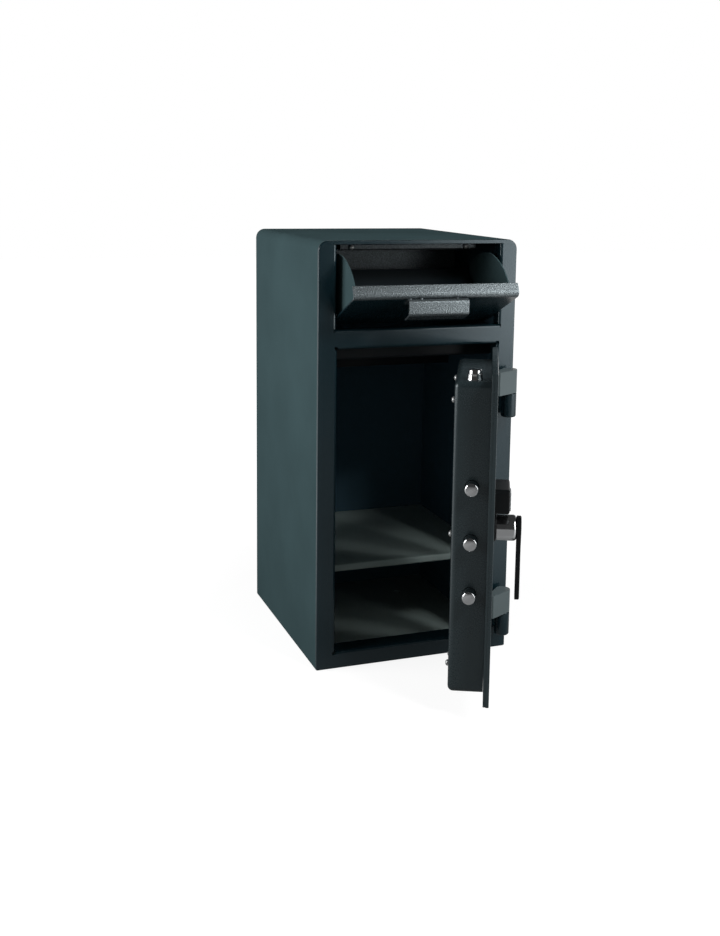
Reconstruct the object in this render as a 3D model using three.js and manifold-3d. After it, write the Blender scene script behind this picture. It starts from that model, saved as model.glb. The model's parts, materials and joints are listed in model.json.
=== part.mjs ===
// Drop safe with a tilting deposit drawer over a bolted door.
// Millimetres, +Z up, +X right, front facing -Y. The origin is the middle of the base, on the floor.
// The door and the drawer are drawn shut, in the frame of the body, and their groups then swing them open.

import * as THREE from 'three';
import { mergeVertices } from 'three/addons/utils/BufferGeometryUtils.js';
import Module from 'manifold-3d';

const wasm = await Module();
wasm.setup();

const degree = Math.PI / 180;
const gap = 0.3;                    // between pieces that seat on each other in a turned group
const overrun = 2;                  // how far a cutter passes the face that it opens
const weldReach = 1e-5;             // corners of a mesh nearer than this are one
const roundFacets = 24;
const smallFacets = 12;
const screwFacets = 10;
const keyFacets = 1;                // steps round a key's corner
const bendFacets = 4;               // steps round a sheet-metal bend
const cornerFacets = 4;             // steps round a plate's corner
const edgeFacets = 2;               // steps over a softened edge

// Body
const bodyWidth = 340;
const bodyDepth = 380;
const bodyHeight = 698;
const wall = 6;
const topCorner = 16;               // outer radius where the sides roll into the roof
const footCorner = 3;
const frontSheet = 4;
const frontEdgeRound = 2.5;
const frontY = -bodyDepth / 2;
const backY = bodyDepth / 2;
const sheetBackY = frontY + frontSheet;
const insideX = bodyWidth / 2 - wall;
const insideBackY = backY - wall;
const roofZ = bodyHeight - wall;
const anchorHole = 6.5;
const anchorInset = 85;

// Front frame: the openings and their folded returns
const doorwayMargin = 32;           // from the body's side to the doorway
const doorwayBottom = 28.5;
const mouthMargin = 30;
const mouthHigh = 133;
const frameBand = 31.5;             // between the mouth and the doorway
const returnBend = 4.5;             // outer radius of a folded return
const bendRelief = 1;               // what a return falls short of the opening's corner
const doorwayReturn = 22;           // the bolts catch behind these
const sillReturn = 36;
const mouthReturn = 20;
const stopReach = 12;               // tabs that the shut door rests on
const stopSheet = 3;
const stopHigh = 20;
const stopInset = 36;               // from the plate's ends
const doorwayX = bodyWidth / 2 - doorwayMargin;
const mouthX = bodyWidth / 2 - mouthMargin;
const mouthBottom = roofZ - mouthHigh;
const doorwayTop = mouthBottom - frameBand;

// Divider between the drawer and the safe compartment
const dividerSheet = 3;
const dividerBelow = 7;             // from the mouth down to the divider
const dividerSetback = 68;          // from the body's front to the divider's front face
const dividerApron = 27;            // what the divider's front face shows in the doorway
const dropSlotDeep = 122;           // the opening behind the divider that the bags drop through
const dividerFall = 30;             // how far the chute drops on its way to the rear
const dividerBend = 1.5;            // inside radius
const dividerHem = 14;
const dividerTop = mouthBottom - dividerBelow;
const dividerFaceY = frontY + dividerSetback;
const dividerDrop = doorwayTop - dividerApron;
const dividerRearY = insideBackY - dropSlotDeep;
const looseFit = 0.5;               // side clearance of the sheets that stand inside the body

// Shelf and its rails
const shelfRise = 123;              // from the doorway's sill to the shelf
const shelfSetback = 70;
const shelfSheet = 2;
const shelfLip = 12;
const shelfHem = 10;
const shelfBend = 1;
const railLeg = 16;
const railSheet = 3;
const railInset = 12;
const shelfTop = doorwayBottom + shelfRise;
const shelfFrontY = frontY + shelfSetback;

// Baffle behind the drawer's mouth
const baffleInset = 22;             // from the mouth's side
const baffleSheet = 2;
const baffleBend = 1;
const baffleSetback = 50;
const baffleDrop = 13;              // from the roof down to the underside of the web
const baffleLip = 9;
const baffleDeep = 84;
const baffleClear = 28;             // from the drawer's pivot up to the baffle's foot
const hangerSheet = 3;
const hangerReach = 20;
const baffleScrewInset = 18;
const screwShank = 2.5;
const screwHead = 4.8;
const screwCrown = 3.8;
const screwShoulderShare = 0.78;    // where the head begins to close in, as a share of its radius
const screwDomeShare = 0.72;        // and how high it stands there, as a share of its crown
const screwFit = 0.3;
const baffleHalf = mouthX - baffleInset;
const baffleFaceY = frontY + baffleSetback;
const baffleWebZ = roofZ - baffleDrop;
const baffleRearY = baffleFaceY + baffleDeep;
const screwX = baffleHalf - baffleScrewInset;

// Deposit drawer, drawn shut
const pivotSetback = 28;
const pivotRise = 17;               // from the mouth's lower edge up to the pivot
const drawerOpen = 65.7 * degree;
const drawerSheet = 2.5;
const drawerSideGap = 2;
const drawerFootGap = 2.5;
const drawerHeadGap = 3.8;
const noseDeep = 21;
const noseBend = 6;                 // inside radius
const cheekInset = 10;              // from the mouth's side
const cheekSheet = 2;
const cheekClear = 3.5;             // under the baffle's web
const cheekAbove = 1.5;             // over the divider's corner, with the drawer shut
const trayFall = 20 * degree;
const trayShort = 1.6;              // what the tray's rear edge falls short of the cheek's arc
const trayHem = 8;
const trayBend = 1.5;
const pivotPin = 4;
const pivotCollar = 5;
const pivotHead = 2;
const runningFit = 0.3;
const bracketSheet = 3;
const bracketHigh = 44;
const bracketDeep = 36;
const bracketFoot = 18;
const bracketCorner = 8;
const drawerPivotY = frontY + pivotSetback;
const drawerPivotZ = mouthBottom + pivotRise;
const drawerFaceY = frontY + mouthReturn;
const drawerHalf = mouthX - drawerSideGap;
const drawerBottom = mouthBottom + drawerFootGap;
const drawerTop = roofZ - drawerHeadGap;
const cheekHalf = mouthX - cheekInset;
const cheekRadius = baffleWebZ - drawerPivotZ - cheekClear;
const trayRear = cheekRadius - trayShort;
const baffleFoot = drawerPivotZ + baffleClear;

// Drawer pull
const pullHalf = 50;
const pullSheet = 2.5;
const pullDroop = 24.3 * degree;
const pullRidge = 2.4;              // how far the pull's outer corner stands above the drawer front
const pullReach = 28.5;
const pullLeg = 22;
const pullBend = 4;
const pullRim = 20;                 // the finger lip that hangs from the pull's outer edge

// Door, drawn shut
const doorGap = 1.5;
const plateThick = 9;
const plateCorner = 2;
const plateEdgeRound = 1;
const hingeInset = 17;              // from the body's side to the hinge axis
const hingeProud = 20;              // from the body's front to the hinge axis
const doorOpen = 64.2 * degree;
const hingeX = bodyWidth / 2 - hingeInset;
const hingeY = frontY - hingeProud;
const plateX = doorwayX - doorGap;
const plateBottom = doorwayBottom + doorGap;
const plateTop = doorwayTop - doorGap;
const plateBackY = frontY + plateThick;

// Boltwork pan on the back of the door
const panSheet = 2;
const panDeep = 53;
const panLockMargin = 26.5;
const panHingeMargin = 20;
const panTopMargin = 16;
const panBottomMargin = 10;
const panCorner = 9;
const panEdgeRound = 8;
const panScrewInset = 14;           // from the pan's side, top or foot
const panScrewHead = 29;            // from the pan's top to the highest screw of its lock side
const panScrewFoot = 41;
const panLockX = -plateX + panLockMargin;
const panHingeX = plateX - panHingeMargin;
const panBottom = plateBottom + panBottomMargin;
const panTop = plateTop - panTopMargin;
const panInnerY = plateBackY + panDeep;

// Bolts, drawn
const boltRadius = 10;
const boltRound = 1.2;
const boltProud = 20;
const boltPitch = 81;
const boltFit = 0.6;
const boltForward = 2;              // from the middle of the pan's depth towards the plate
const boltTail = 6.5;               // radius of the riveted tail
const boltTailHigh = 3;
const boltShank = 5;
const barInset = 34;                // from the pan's side to the bar's face, which the bolts seat on
const barThick = 6;
const barWide = 22;
const barReach = 19;                // bar beyond the outer bolts' axes
const topBoltRadius = 9.5;
const topBoltInset = 22;
const topBoltProud = 15.5;
const topBoltLong = 60;
const collarFoot = 12;
const collarHead = 10.8;
const collarHigh = 9;
const boltY = plateBackY + panDeep / 2 - boltForward;
const boltMiddleZ = (panBottom + panTop) / 2;
const barX = panLockX + barInset;
const boltTipX = panLockX - boltProud;
const topBoltX = panLockX + topBoltInset;
const topBoltTip = panTop + topBoltProud;

// Cam, yoke and lift link: flat plates that slide past each other behind the door plate
const handleInset = 91.5;           // from the plate's lock edge to the spindle
const handleRise = 3.5;             // from the middle side bolt up to the spindle
const spindleRadius = 5;
const spindleFit = 1.5;
const camRadius = 26;
const camThick = 4;
const camSwing = 60 * degree;
const boltTravel = 18;
const camPinRadius = 3.6;
const slotFit = 0.7;
const slotRim = 5;
const linkThick = 3;
const linkGap = 0.5;
const liftWide = 14;
const handleX = -plateX + handleInset;
const handleZ = boltMiddleZ + handleRise;
const camThrow = boltTravel / (2 * Math.sin(camSwing / 2));
const camFrontY = plateBackY + linkGap;
const yokeFrontY = camFrontY + camThick + linkGap;
const liftFrontY = yokeFrontY + linkThick + linkGap;

// Solenoid lock under the carrier bar
const lockWide = 34;
const lockHigh = 48;
const lockDeep = 38;
const plungerRadius = 4;
const plungerFit = 0.4;
const plungerGap = 2.5;             // between the plunger, drawn in, and the end of the bar
const plungerLong = 42;
const plungerShow = 12;             // plunger above the lock's casing

// Hinges
const barrelRadius = 12.5;
const barrelEdge = 0.8;
const hingePinRadius = 6;
const hingePinLong = 32;
const lowerJoint = 42;              // from the plate's foot to where a door knuckle sits on its barrel
const upperJoint = 77.5;            // and from its top
const doorKnuckle = 39;
const bodyBarrel = 40;
const knuckleGap = 0.5;
const leafLong = 24.5;              // from the plate's edge to the root of the door leaf
const leafRoot = 5;
const leafHeel = 2;                 // from the plate's edge back to the leaf's end
const bodyLeafWide = 18;
const bodyLeafHigh = 24;
const bodyLeafDrop = 6;             // from the joint down to the body leaf
const jointHeights = [plateBottom + lowerJoint, plateTop - upperJoint];

// Keypad
const keypadShift = 15;             // from the spindle to the keypad's middle
const keypadWidth = 72;
const keypadHigh = 37;
const keypadDeep = 22;
const keypadCorner = 7;
const keypadEdge = 3;
const keypadRise = 33;              // from the spindle up to the keypad's lower edge
const keyRows = 4;
const keyColumns = 3;
const keyWide = 7.6;
const keyHigh = 5.6;
const keyPitchX = 9.6;
const keyPitchZ = 7.6;
const keyProud = 1.6;
const keyDeep = 4;
const keyTravel = 1;
const keyFit = 0.4;
const keyCorner = 1.2;
const keyMargin = 6.5;              // from the keypad's lock side to its keys
const coverMargin = 7;              // from the keypad's hinge side to its battery cover
const coverWide = 26;
const coverHigh = 27;
const coverThick = 2;
const coverCorner = 4;
const gripPitch = 4;
const gripWide = 1.6;
const gripDeep = 0.8;
const gripCount = 3;
const keypadX = handleX - keypadShift;
const keypadBottom = handleZ + keypadRise;

// Handle
const roseRadius = 21.5;
const roseThick = 3;
const hubRadius = 20;
const hubEdge = 5;                  // the round at the lever's end of the hub
const hubSteps = 4;
const hubReach = 34;                // from the door's face to the back of the lever
const leverThick = 7;
const leverHead = 18.5;
const leverTip = 8.5;
const leverNeck = 6.5;
const leverReach = 104;             // from the spindle to the middle of the lever's round tip
const leverEdge = 1.5;
const leverShoulder = 0.62;         // radians that the head's round runs on below the spindle, each side
const leverWaistShare = 1.6;        // from the spindle down to the neck, as a share of the head's radius

// Finishes
const finish = (color, roughness, metalness) =>
  new THREE.MeshStandardMaterial({ color, roughness, metalness });
const bodyPaint = finish(0x35444a, 0.45, 0.1);
const hammerPaint = finish(0x4b555b, 0.4, 0.25);
const doorPaint = finish(0x2a3439, 0.42, 0.1);
const chrome = finish(0xc4c6c8, 0.12, 1);
const zinc = finish(0x9a9b99, 0.35, 0.9);
const blackPlastic = finish(0x16181a, 0.5, 0);
const keyRubber = finish(0x8e9296, 0.6, 0);

// Solids

function toSolid(geometry) {
  const bare = geometry.clone();
  bare.deleteAttribute('normal');
  bare.deleteAttribute('uv');
  const merged = mergeVertices(bare, weldReach);
  const vertProperties = new Float32Array(merged.attributes.position.array);
  const triVerts = new Uint32Array(merged.index.array);
  return new wasm.Manifold(new wasm.Mesh({ numProp: 3, vertProperties, triVerts }));
}

function toGeometry(solid) {
  const result = solid.getMesh();
  const geometry = new THREE.BufferGeometry();
  geometry.setAttribute('position', new THREE.BufferAttribute(new Float32Array(result.vertProperties), 3));
  geometry.setIndex(new THREE.BufferAttribute(new Uint32Array(result.triVerts), 1));
  geometry.computeVertexNormals();
  return geometry;
}

const union = (...solids) => solids.reduce((whole, solid) => whole.add(solid));
const cut = (solid, ...tools) => tools.reduce((rest, tool) => rest.subtract(tool), solid);

function block(x0, x1, y0, y1, z0, z1) {
  const geometry = new THREE.BoxGeometry(x1 - x0, y1 - y0, z1 - z0);
  return toSolid(geometry.translate((x0 + x1) / 2, (y0 + y1) / 2, (z0 + z1) / 2));
}

// An outline swept from one place to another along an axis. Its own two coordinates are
// Y and Z along X, X and Z along Y, and X and Y along Z.
const towards = (...direction) => new THREE.Vector3(...direction);
const frames = {
  x: new THREE.Matrix4().makeBasis(towards(0, 1, 0), towards(0, 0, 1), towards(1, 0, 0)),
  y: new THREE.Matrix4().makeBasis(towards(1, 0, 0), towards(0, 0, 1), towards(0, -1, 0)),
  z: new THREE.Matrix4(),
};

function sweep(shape, axis, from, to, facets = cornerFacets) {
  const depth = to - from;
  const geometry = new THREE.ExtrudeGeometry(shape, { depth, bevelEnabled: false, curveSegments: facets });
  geometry.applyMatrix4(frames[axis]);
  const start = { x: [from, 0, 0], y: [0, to, 0], z: [0, 0, from] }[axis];
  return toSolid(geometry.translate(...start));
}

// A plate or a block that faces along Y, flat at one end and with softened edges at the other.
function crowned(shape, flatFace, roundFace, round, facets = cornerFacets) {
  const outward = Math.sign(roundFace - flatFace);
  const depth = Math.abs(roundFace - flatFace) - round + overrun;
  const geometry = new THREE.ExtrudeGeometry(shape, {
    depth,
    bevelEnabled: true,
    bevelThickness: round,
    bevelSize: round,
    bevelOffset: -round,
    bevelSegments: edgeFacets,
    curveSegments: facets,
  });
  geometry.applyMatrix4(frames.y);
  geometry.translate(0, outward < 0 ? roundFace + depth + round : roundFace - round, 0);
  const far = bodyHeight + bodyDepth;
  const beyond = [flatFace, flatFace - outward * far].sort((low, high) => low - high);
  return cut(toSolid(geometry), block(-far, far, ...beyond, -far, far));
}

function disc(across, up, radius) {
  const shape = new THREE.Shape();
  shape.absarc(across, up, radius, 0, 2 * Math.PI, false);
  return shape;
}

// A round bar along an axis, placed by the other two coordinates.
const rod = (axis, across, up, radius, from, to, facets = roundFacets) =>
  sweep(disc(across, up, radius), axis, from, to, facets);

function roundedRect(x0, y0, x1, y1, lower, upper = lower) {
  const shape = new THREE.Shape();
  shape.moveTo(x0 + lower, y0);
  shape.lineTo(x1 - lower, y0);
  shape.absarc(x1 - lower, y0 + lower, lower, -Math.PI / 2, 0, false);
  shape.lineTo(x1, y1 - upper);
  shape.absarc(x1 - upper, y1 - upper, upper, 0, Math.PI / 2, false);
  shape.lineTo(x0 + upper, y1);
  shape.absarc(x0 + upper, y1 - upper, upper, Math.PI / 2, Math.PI, false);
  shape.lineTo(x0, y0 + lower);
  shape.absarc(x0 + lower, y0 + lower, lower, Math.PI, 1.5 * Math.PI, false);
  return shape;
}

// A slot with round ends from one centre to another.
function slot(fromX, fromZ, toX, toZ, radius) {
  const angle = Math.atan2(toZ - fromZ, toX - fromX);
  const shape = new THREE.Shape();
  shape.absarc(toX, toZ, radius, angle - Math.PI / 2, angle + Math.PI / 2, false);
  shape.absarc(fromX, fromZ, radius, angle + Math.PI / 2, angle + 1.5 * Math.PI, false);
  return shape;
}

// Sheet metal folded along lines. The corners are those of the sheet's right-hand face, and
// the sheet lies to the left of the way from the first corner to the last.
function foldedSheet(corners, thick, insideRound) {
  const points = corners.map(([across, up]) => new THREE.Vector2(across, up));
  const way = (from, to) => to.clone().sub(from).normalize();
  const left = (direction) => new THREE.Vector2(-direction.y, direction.x);
  const last = points.length - 1;
  const rightFace = [];
  const leftFace = [];
  points.forEach((point, index) => {
    const before = index > 0 ? way(points[index - 1], point) : way(point, points[1]);
    const after = index < last ? way(point, points[index + 1]) : before;
    const turn = Math.atan2(before.cross(after), before.dot(after));
    if (index === 0 || index === last) {
      rightFace.push(point.clone());
      leftFace.push(point.clone().addScaledVector(left(before), thick));
      return;
    }
    const side = Math.sign(turn);
    const rightRadius = side > 0 ? insideRound + thick : insideRound;
    const leftRadius = side > 0 ? insideRound : insideRound + thick;
    const start = point.clone().addScaledVector(before, -rightRadius * Math.tan(Math.abs(turn) / 2));
    const centre = start.clone().addScaledVector(left(before), side * rightRadius);
    for (let step = 0; step <= bendFacets; step += 1) {
      const spoke = left(before).multiplyScalar(-side);
      spoke.rotateAround(new THREE.Vector2(), (turn * step) / bendFacets);
      rightFace.push(centre.clone().addScaledVector(spoke, rightRadius));
      leftFace.push(centre.clone().addScaledVector(spoke, leftRadius));
    }
  });
  return new THREE.Shape([...rightFace, ...leftFace.reverse()]);
}

// A turned piece from its profile of radius and height, standing on its own axis.
function turned(profile, facets = roundFacets) {
  return new THREE.LatheGeometry(profile.map(([radius, along]) => new THREE.Vector2(radius, along)), facets);
}

// The turned piece with its axis out of the door's face, along -Y, from the given place.
const turnedOutward = (profile, x, y, z, facets) =>
  toSolid(turned(profile, facets).rotateX(Math.PI).translate(x, y, z));

// The turned piece with its axis upright.
const turnedUpright = (profile, x, y, z, facets) =>
  toSolid(turned(profile, facets).rotateX(Math.PI / 2).translate(x, y, z));

// The turned piece with its axis along X, to the left with side -1 and to the right with side 1.
const turnedSideways = (profile, x, y, z, side, facets) =>
  toSolid(turned(profile, facets).rotateZ((-side * Math.PI) / 2).translate(x, y, z));

// The scene graph: the door and the drawer turn about their pivots

const safe = new THREE.Group();
const door = new THREE.Group();
const doorParts = new THREE.Group();
const drawer = new THREE.Group();
const drawerParts = new THREE.Group();
door.position.set(hingeX, hingeY, 0);
door.rotation.z = doorOpen;
doorParts.position.set(-hingeX, -hingeY, 0);
drawer.position.set(0, drawerPivotY, drawerPivotZ);
drawer.rotation.x = drawerOpen;
drawerParts.position.set(0, -drawerPivotY, -drawerPivotZ);
door.add(doorParts);
drawer.add(drawerParts);
safe.add(door, drawer);

function place(group, name, solid, material) {
  const mesh = new THREE.Mesh(toGeometry(solid), material);
  mesh.name = name;
  group.add(mesh);
}

const sides = [['left', -1], ['right', 1]];

// Both ends of a span, lowest first, on the left or right of the middle.
const span = (side, from, to) => (side < 0 ? [-to, -from] : [from, to]);

// Cabinet

function addBody() {
  const outline = roundedRect(-bodyWidth / 2, 0, bodyWidth / 2, bodyHeight, footCorner, topCorner);
  const hollow = roundedRect(-insideX, -overrun - topCorner, insideX, roofZ, topCorner - wall);
  const inside = sweep(hollow, 'y', sheetBackY - overrun, insideBackY + overrun);
  place(safe, 'body_wrap', cut(sweep(outline, 'y', sheetBackY, insideBackY), inside), bodyPaint);
  place(safe, 'back_panel', sweep(outline, 'y', insideBackY, backY), bodyPaint);
  const floor = block(-insideX, insideX, sheetBackY, insideBackY, 0, wall);
  const anchors = [-1, 1].flatMap((acrossSide) => [-1, 1].map((alongSide) => {
    const x = acrossSide * (bodyWidth / 2 - anchorInset);
    const y = alongSide * (bodyDepth / 2 - anchorInset);
    return rod('z', x, y, anchorHole, -overrun, wall + overrun, smallFacets);
  }));
  place(safe, 'base_panel', cut(floor, ...anchors), bodyPaint);
}

// A return folded back from the edge of an opening: its section runs along the sheet's front
// face, round the bend and back. The opening's edge faces towards +across or -across.
function returnSection(edge, facing, deep) {
  const flatEnd = edge - facing * (returnBend + overrun);
  const corners = [[edge, frontY + deep], [edge, frontY], [flatEnd, frontY]];
  const section = facing > 0 ? corners.reverse() : corners;
  return foldedSheet(section, frontSheet, returnBend - frontSheet);
}

function addFrontFrame() {
  const outline = roundedRect(-bodyWidth / 2, 0, bodyWidth / 2, bodyHeight, footCorner, topCorner);
  const sheet = crowned(outline, sheetBackY, frontY, frontEdgeRound);
  const cutFrom = frontY - overrun;
  const cutTo = sheetBackY + overrun;
  const doorwayHole = block(-doorwayX - returnBend, doorwayX + returnBend, cutFrom, cutTo,
    doorwayBottom - returnBend, doorwayTop + returnBend);
  const mouthHole = block(-mouthX - returnBend, mouthX + returnBend, cutFrom, cutTo,
    mouthBottom - returnBend, roofZ);
  const upright = (edge, facing, deep, from, to) =>
    sweep(returnSection(edge, facing, deep), 'z', from + bendRelief, to - bendRelief);
  const level = (edge, facing, deep, halfLong) => {
    const points = returnSection(edge, facing, deep).getPoints();
    const flipped = points.map((point) => new THREE.Vector2(point.y, point.x)).reverse();
    return sweep(new THREE.Shape(flipped), 'x', -halfLong + bendRelief, halfLong - bendRelief);
  };
  const returns = [
    upright(-doorwayX, 1, doorwayReturn, doorwayBottom, doorwayTop),
    upright(doorwayX, -1, doorwayReturn, doorwayBottom, doorwayTop),
    level(doorwayBottom, 1, sillReturn, doorwayX),
    level(doorwayTop, -1, doorwayReturn, doorwayX),
    upright(-mouthX, 1, mouthReturn, mouthBottom, roofZ),
    upright(mouthX, -1, mouthReturn, mouthBottom, roofZ),
    level(mouthBottom, 1, mouthReturn, mouthX + returnBend),
  ];
  const stopFrontY = plateBackY + gap;
  const stops = [plateBottom + stopInset, plateTop - stopInset].map((height) =>
    block(doorwayX - stopReach, doorwayX + frontSheet / 2, stopFrontY, stopFrontY + stopSheet,
      height - stopHigh / 2, height + stopHigh / 2));
  place(safe, 'front_frame', union(cut(sheet, doorwayHole, mouthHole), ...returns, ...stops), bodyPaint);
}

function addDivider() {
  const under = dividerTop - dividerSheet;
  const section = foldedSheet([
    [sheetBackY, under],
    [dividerFaceY, under],
    [dividerFaceY, dividerDrop],
    [dividerRearY, dividerDrop - dividerFall],
    [dividerRearY, dividerDrop - dividerFall - dividerHem],
  ], dividerSheet, dividerBend);
  const reach = insideX - looseFit;
  place(safe, 'divider_panel', sweep(section, 'x', -reach, reach), bodyPaint);
}

function addShelf() {
  const lipZ = shelfTop - shelfLip;
  const section = foldedSheet([
    [shelfFrontY + shelfHem, lipZ],
    [shelfFrontY, lipZ],
    [shelfFrontY, shelfTop],
    [insideBackY - looseFit, shelfTop],
  ].reverse(), shelfSheet, shelfBend);
  const reach = insideX - looseFit;
  place(safe, 'shelf', sweep(section, 'x', -reach, reach), bodyPaint);
  const railTop = shelfTop - shelfSheet;
  for (const [sideName, side] of sides) {
    const section = foldedSheet([
      [side * insideX, railTop - railLeg],
      [side * insideX, railTop],
      [side * (insideX - railLeg), railTop],
    ], railSheet, shelfBend);
    const mirrored = foldedSheet([
      [side * (insideX - railLeg), railTop],
      [side * insideX, railTop],
      [side * insideX, railTop - railLeg],
    ], railSheet, shelfBend);
    const rail = sweep(side > 0 ? section : mirrored, 'y', shelfFrontY + railInset, insideBackY - railInset);
    place(safe, `shelf_rail_${sideName}`, rail, bodyPaint);
  }
}

// The profile of a round-headed screw, from the tip of its shank to the top of its crown.
const screwProfile = (long) => [
  [0, -long],
  [screwShank, -long],
  [screwShank, 0],
  [screwHead, 0],
  [screwHead * screwShoulderShare, screwCrown * screwDomeShare],
  [0, screwCrown],
];

function addBaffle() {
  const lipTop = baffleWebZ + baffleLip;
  const section = foldedSheet([
    [baffleFaceY, lipTop],
    [baffleFaceY, baffleWebZ],
    [baffleRearY, baffleWebZ],
    [baffleRearY, baffleFoot],
  ], baffleSheet, baffleBend);
  const hangerY = baffleFaceY + baffleSheet;
  const hangerFoot = baffleWebZ + baffleSheet + baffleBend;
  const hangerSection = foldedSheet([
    [hangerY, hangerFoot],
    [hangerY, roofZ],
    [hangerY + hangerReach, roofZ],
  ].reverse(), hangerSheet, baffleBend);
  const screwZ = (baffleWebZ + lipTop) / 2 + baffleSheet / 2;
  const holeTo = hangerY + hangerSheet + overrun;
  const holes = sides.map(([, side]) =>
    rod('y', side * screwX, screwZ, screwShank + screwFit, baffleFaceY - overrun, holeTo, smallFacets));
  place(safe, 'drawer_baffle', cut(sweep(section, 'x', -baffleHalf, baffleHalf), ...holes), hammerPaint);
  place(safe, 'baffle_hanger', cut(sweep(hangerSection, 'x', -baffleHalf, baffleHalf), ...holes), bodyPaint);
  for (const [sideName, side] of sides) {
    const long = baffleSheet + hangerSheet + gap;
    const screw = turnedOutward(screwProfile(long), side * screwX, baffleFaceY, screwZ, screwFacets);
    place(safe, `baffle_screw_${sideName}`, screw, zinc);
  }
}

function addDrawerBrackets() {
  const inner = mouthX + looseFit;
  const front = frontY + mouthReturn + looseFit;
  const rear = front + bracketDeep;
  const top = dividerTop + bracketHigh;
  const cheekFace = cheekHalf + gap;
  for (const [sideName, side] of sides) {
    const profile = roundedRect(front, dividerTop, rear, top, 0, bracketCorner);
    const ear = sweep(profile, 'x', ...span(side, inner, inner + bracketSheet));
    const footTop = dividerTop + bracketSheet;
    const foot = block(...span(side, inner, inner + bracketFoot), front, rear, dividerTop, footTop);
    const bore = rod('x', drawerPivotY, drawerPivotZ, pivotPin + runningFit,
      ...span(side, inner - overrun, inner + bracketSheet + overrun), smallFacets);
    place(safe, `drawer_bracket_${sideName}`, cut(union(ear, foot), bore), bodyPaint);
    const outer = inner + bracketSheet;
    const pinProfile = [
      [0, cheekHalf - cheekSheet - gap - pivotHead],
      [pivotCollar, cheekHalf - cheekSheet - gap - pivotHead],
      [pivotCollar, cheekHalf - cheekSheet - gap],
      [pivotPin, cheekHalf - cheekSheet - gap],
      [pivotPin, cheekFace],
      [pivotCollar, cheekFace],
      [pivotCollar, inner - gap],
      [pivotPin, inner - gap],
      [pivotPin, outer + gap],
      [pivotCollar, outer + gap],
      [pivotCollar, outer + pivotHead],
      [0, outer + pivotHead],
    ];
    const pin = turnedSideways(pinProfile, 0, drawerPivotY, drawerPivotZ, side, smallFacets);
    place(safe, `drawer_pin_${sideName}`, pin, zinc);
  }
}

// Hinges: the body's barrel carries the pin, and the door's knuckle drops over it

function addHinges() {
  ['lower', 'upper'].forEach((level, index) => {
    const joint = jointHeights[index];
    const foot = joint - bodyBarrel;
    const barrel = turnedUpright([
      [0, 0],
      [barrelRadius - barrelEdge, 0],
      [barrelRadius, barrelEdge],
      [barrelRadius, bodyBarrel - barrelEdge],
      [barrelRadius - barrelEdge, bodyBarrel],
      [hingePinRadius, bodyBarrel],
      [hingePinRadius, bodyBarrel + hingePinLong - barrelEdge],
      [hingePinRadius - barrelEdge, bodyBarrel + hingePinLong],
      [0, bodyBarrel + hingePinLong],
    ], hingeX, hingeY, foot);
    const leafTop = joint - bodyLeafDrop;
    const leaf = block(hingeX - bodyLeafWide / 2, hingeX + bodyLeafWide / 2, hingeY, frontY,
      leafTop - bodyLeafHigh, leafTop);
    place(safe, `hinge_barrel_${level}`, union(barrel, leaf), bodyPaint);

    const knuckleFoot = joint + knuckleGap;
    const knuckleTop = knuckleFoot + doorKnuckle;
    const faceY = frontY - gap;
    const rootX = plateX - leafLong;
    const rootY = faceY - leafRoot;
    const away = Math.hypot(rootX - hingeX, rootY - hingeY);
    const bearing = Math.atan2(rootY - hingeY, rootX - hingeX);
    const start = bearing + Math.acos(barrelRadius / away);
    const shape = new THREE.Shape();
    shape.moveTo(plateX - leafHeel, faceY);
    shape.lineTo(rootX, faceY);
    shape.lineTo(rootX, rootY);
    shape.absarc(hingeX, hingeY, barrelRadius, start, 2.5 * Math.PI, false);
    const bore = rod('z', hingeX, hingeY, hingePinRadius + runningFit, knuckleFoot - overrun,
      joint + hingePinLong + knuckleGap);
    const knuckle = cut(sweep(shape, 'z', knuckleFoot, knuckleTop, roundFacets / 2), bore);
    place(doorParts, `hinge_knuckle_${level}`, knuckle, hammerPaint);
  });
}

// Door

function addDoorPlate() {
  const outline = roundedRect(-plateX, plateBottom, plateX, plateTop, plateCorner);
  const plate = crowned(outline, plateBackY, frontY, plateEdgeRound);
  const spindleHole = rod('y', handleX, handleZ, spindleRadius + spindleFit, frontY - overrun,
    plateBackY + overrun, smallFacets);
  place(doorParts, 'door_plate', cut(plate, spindleHole), doorPaint);
}

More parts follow.
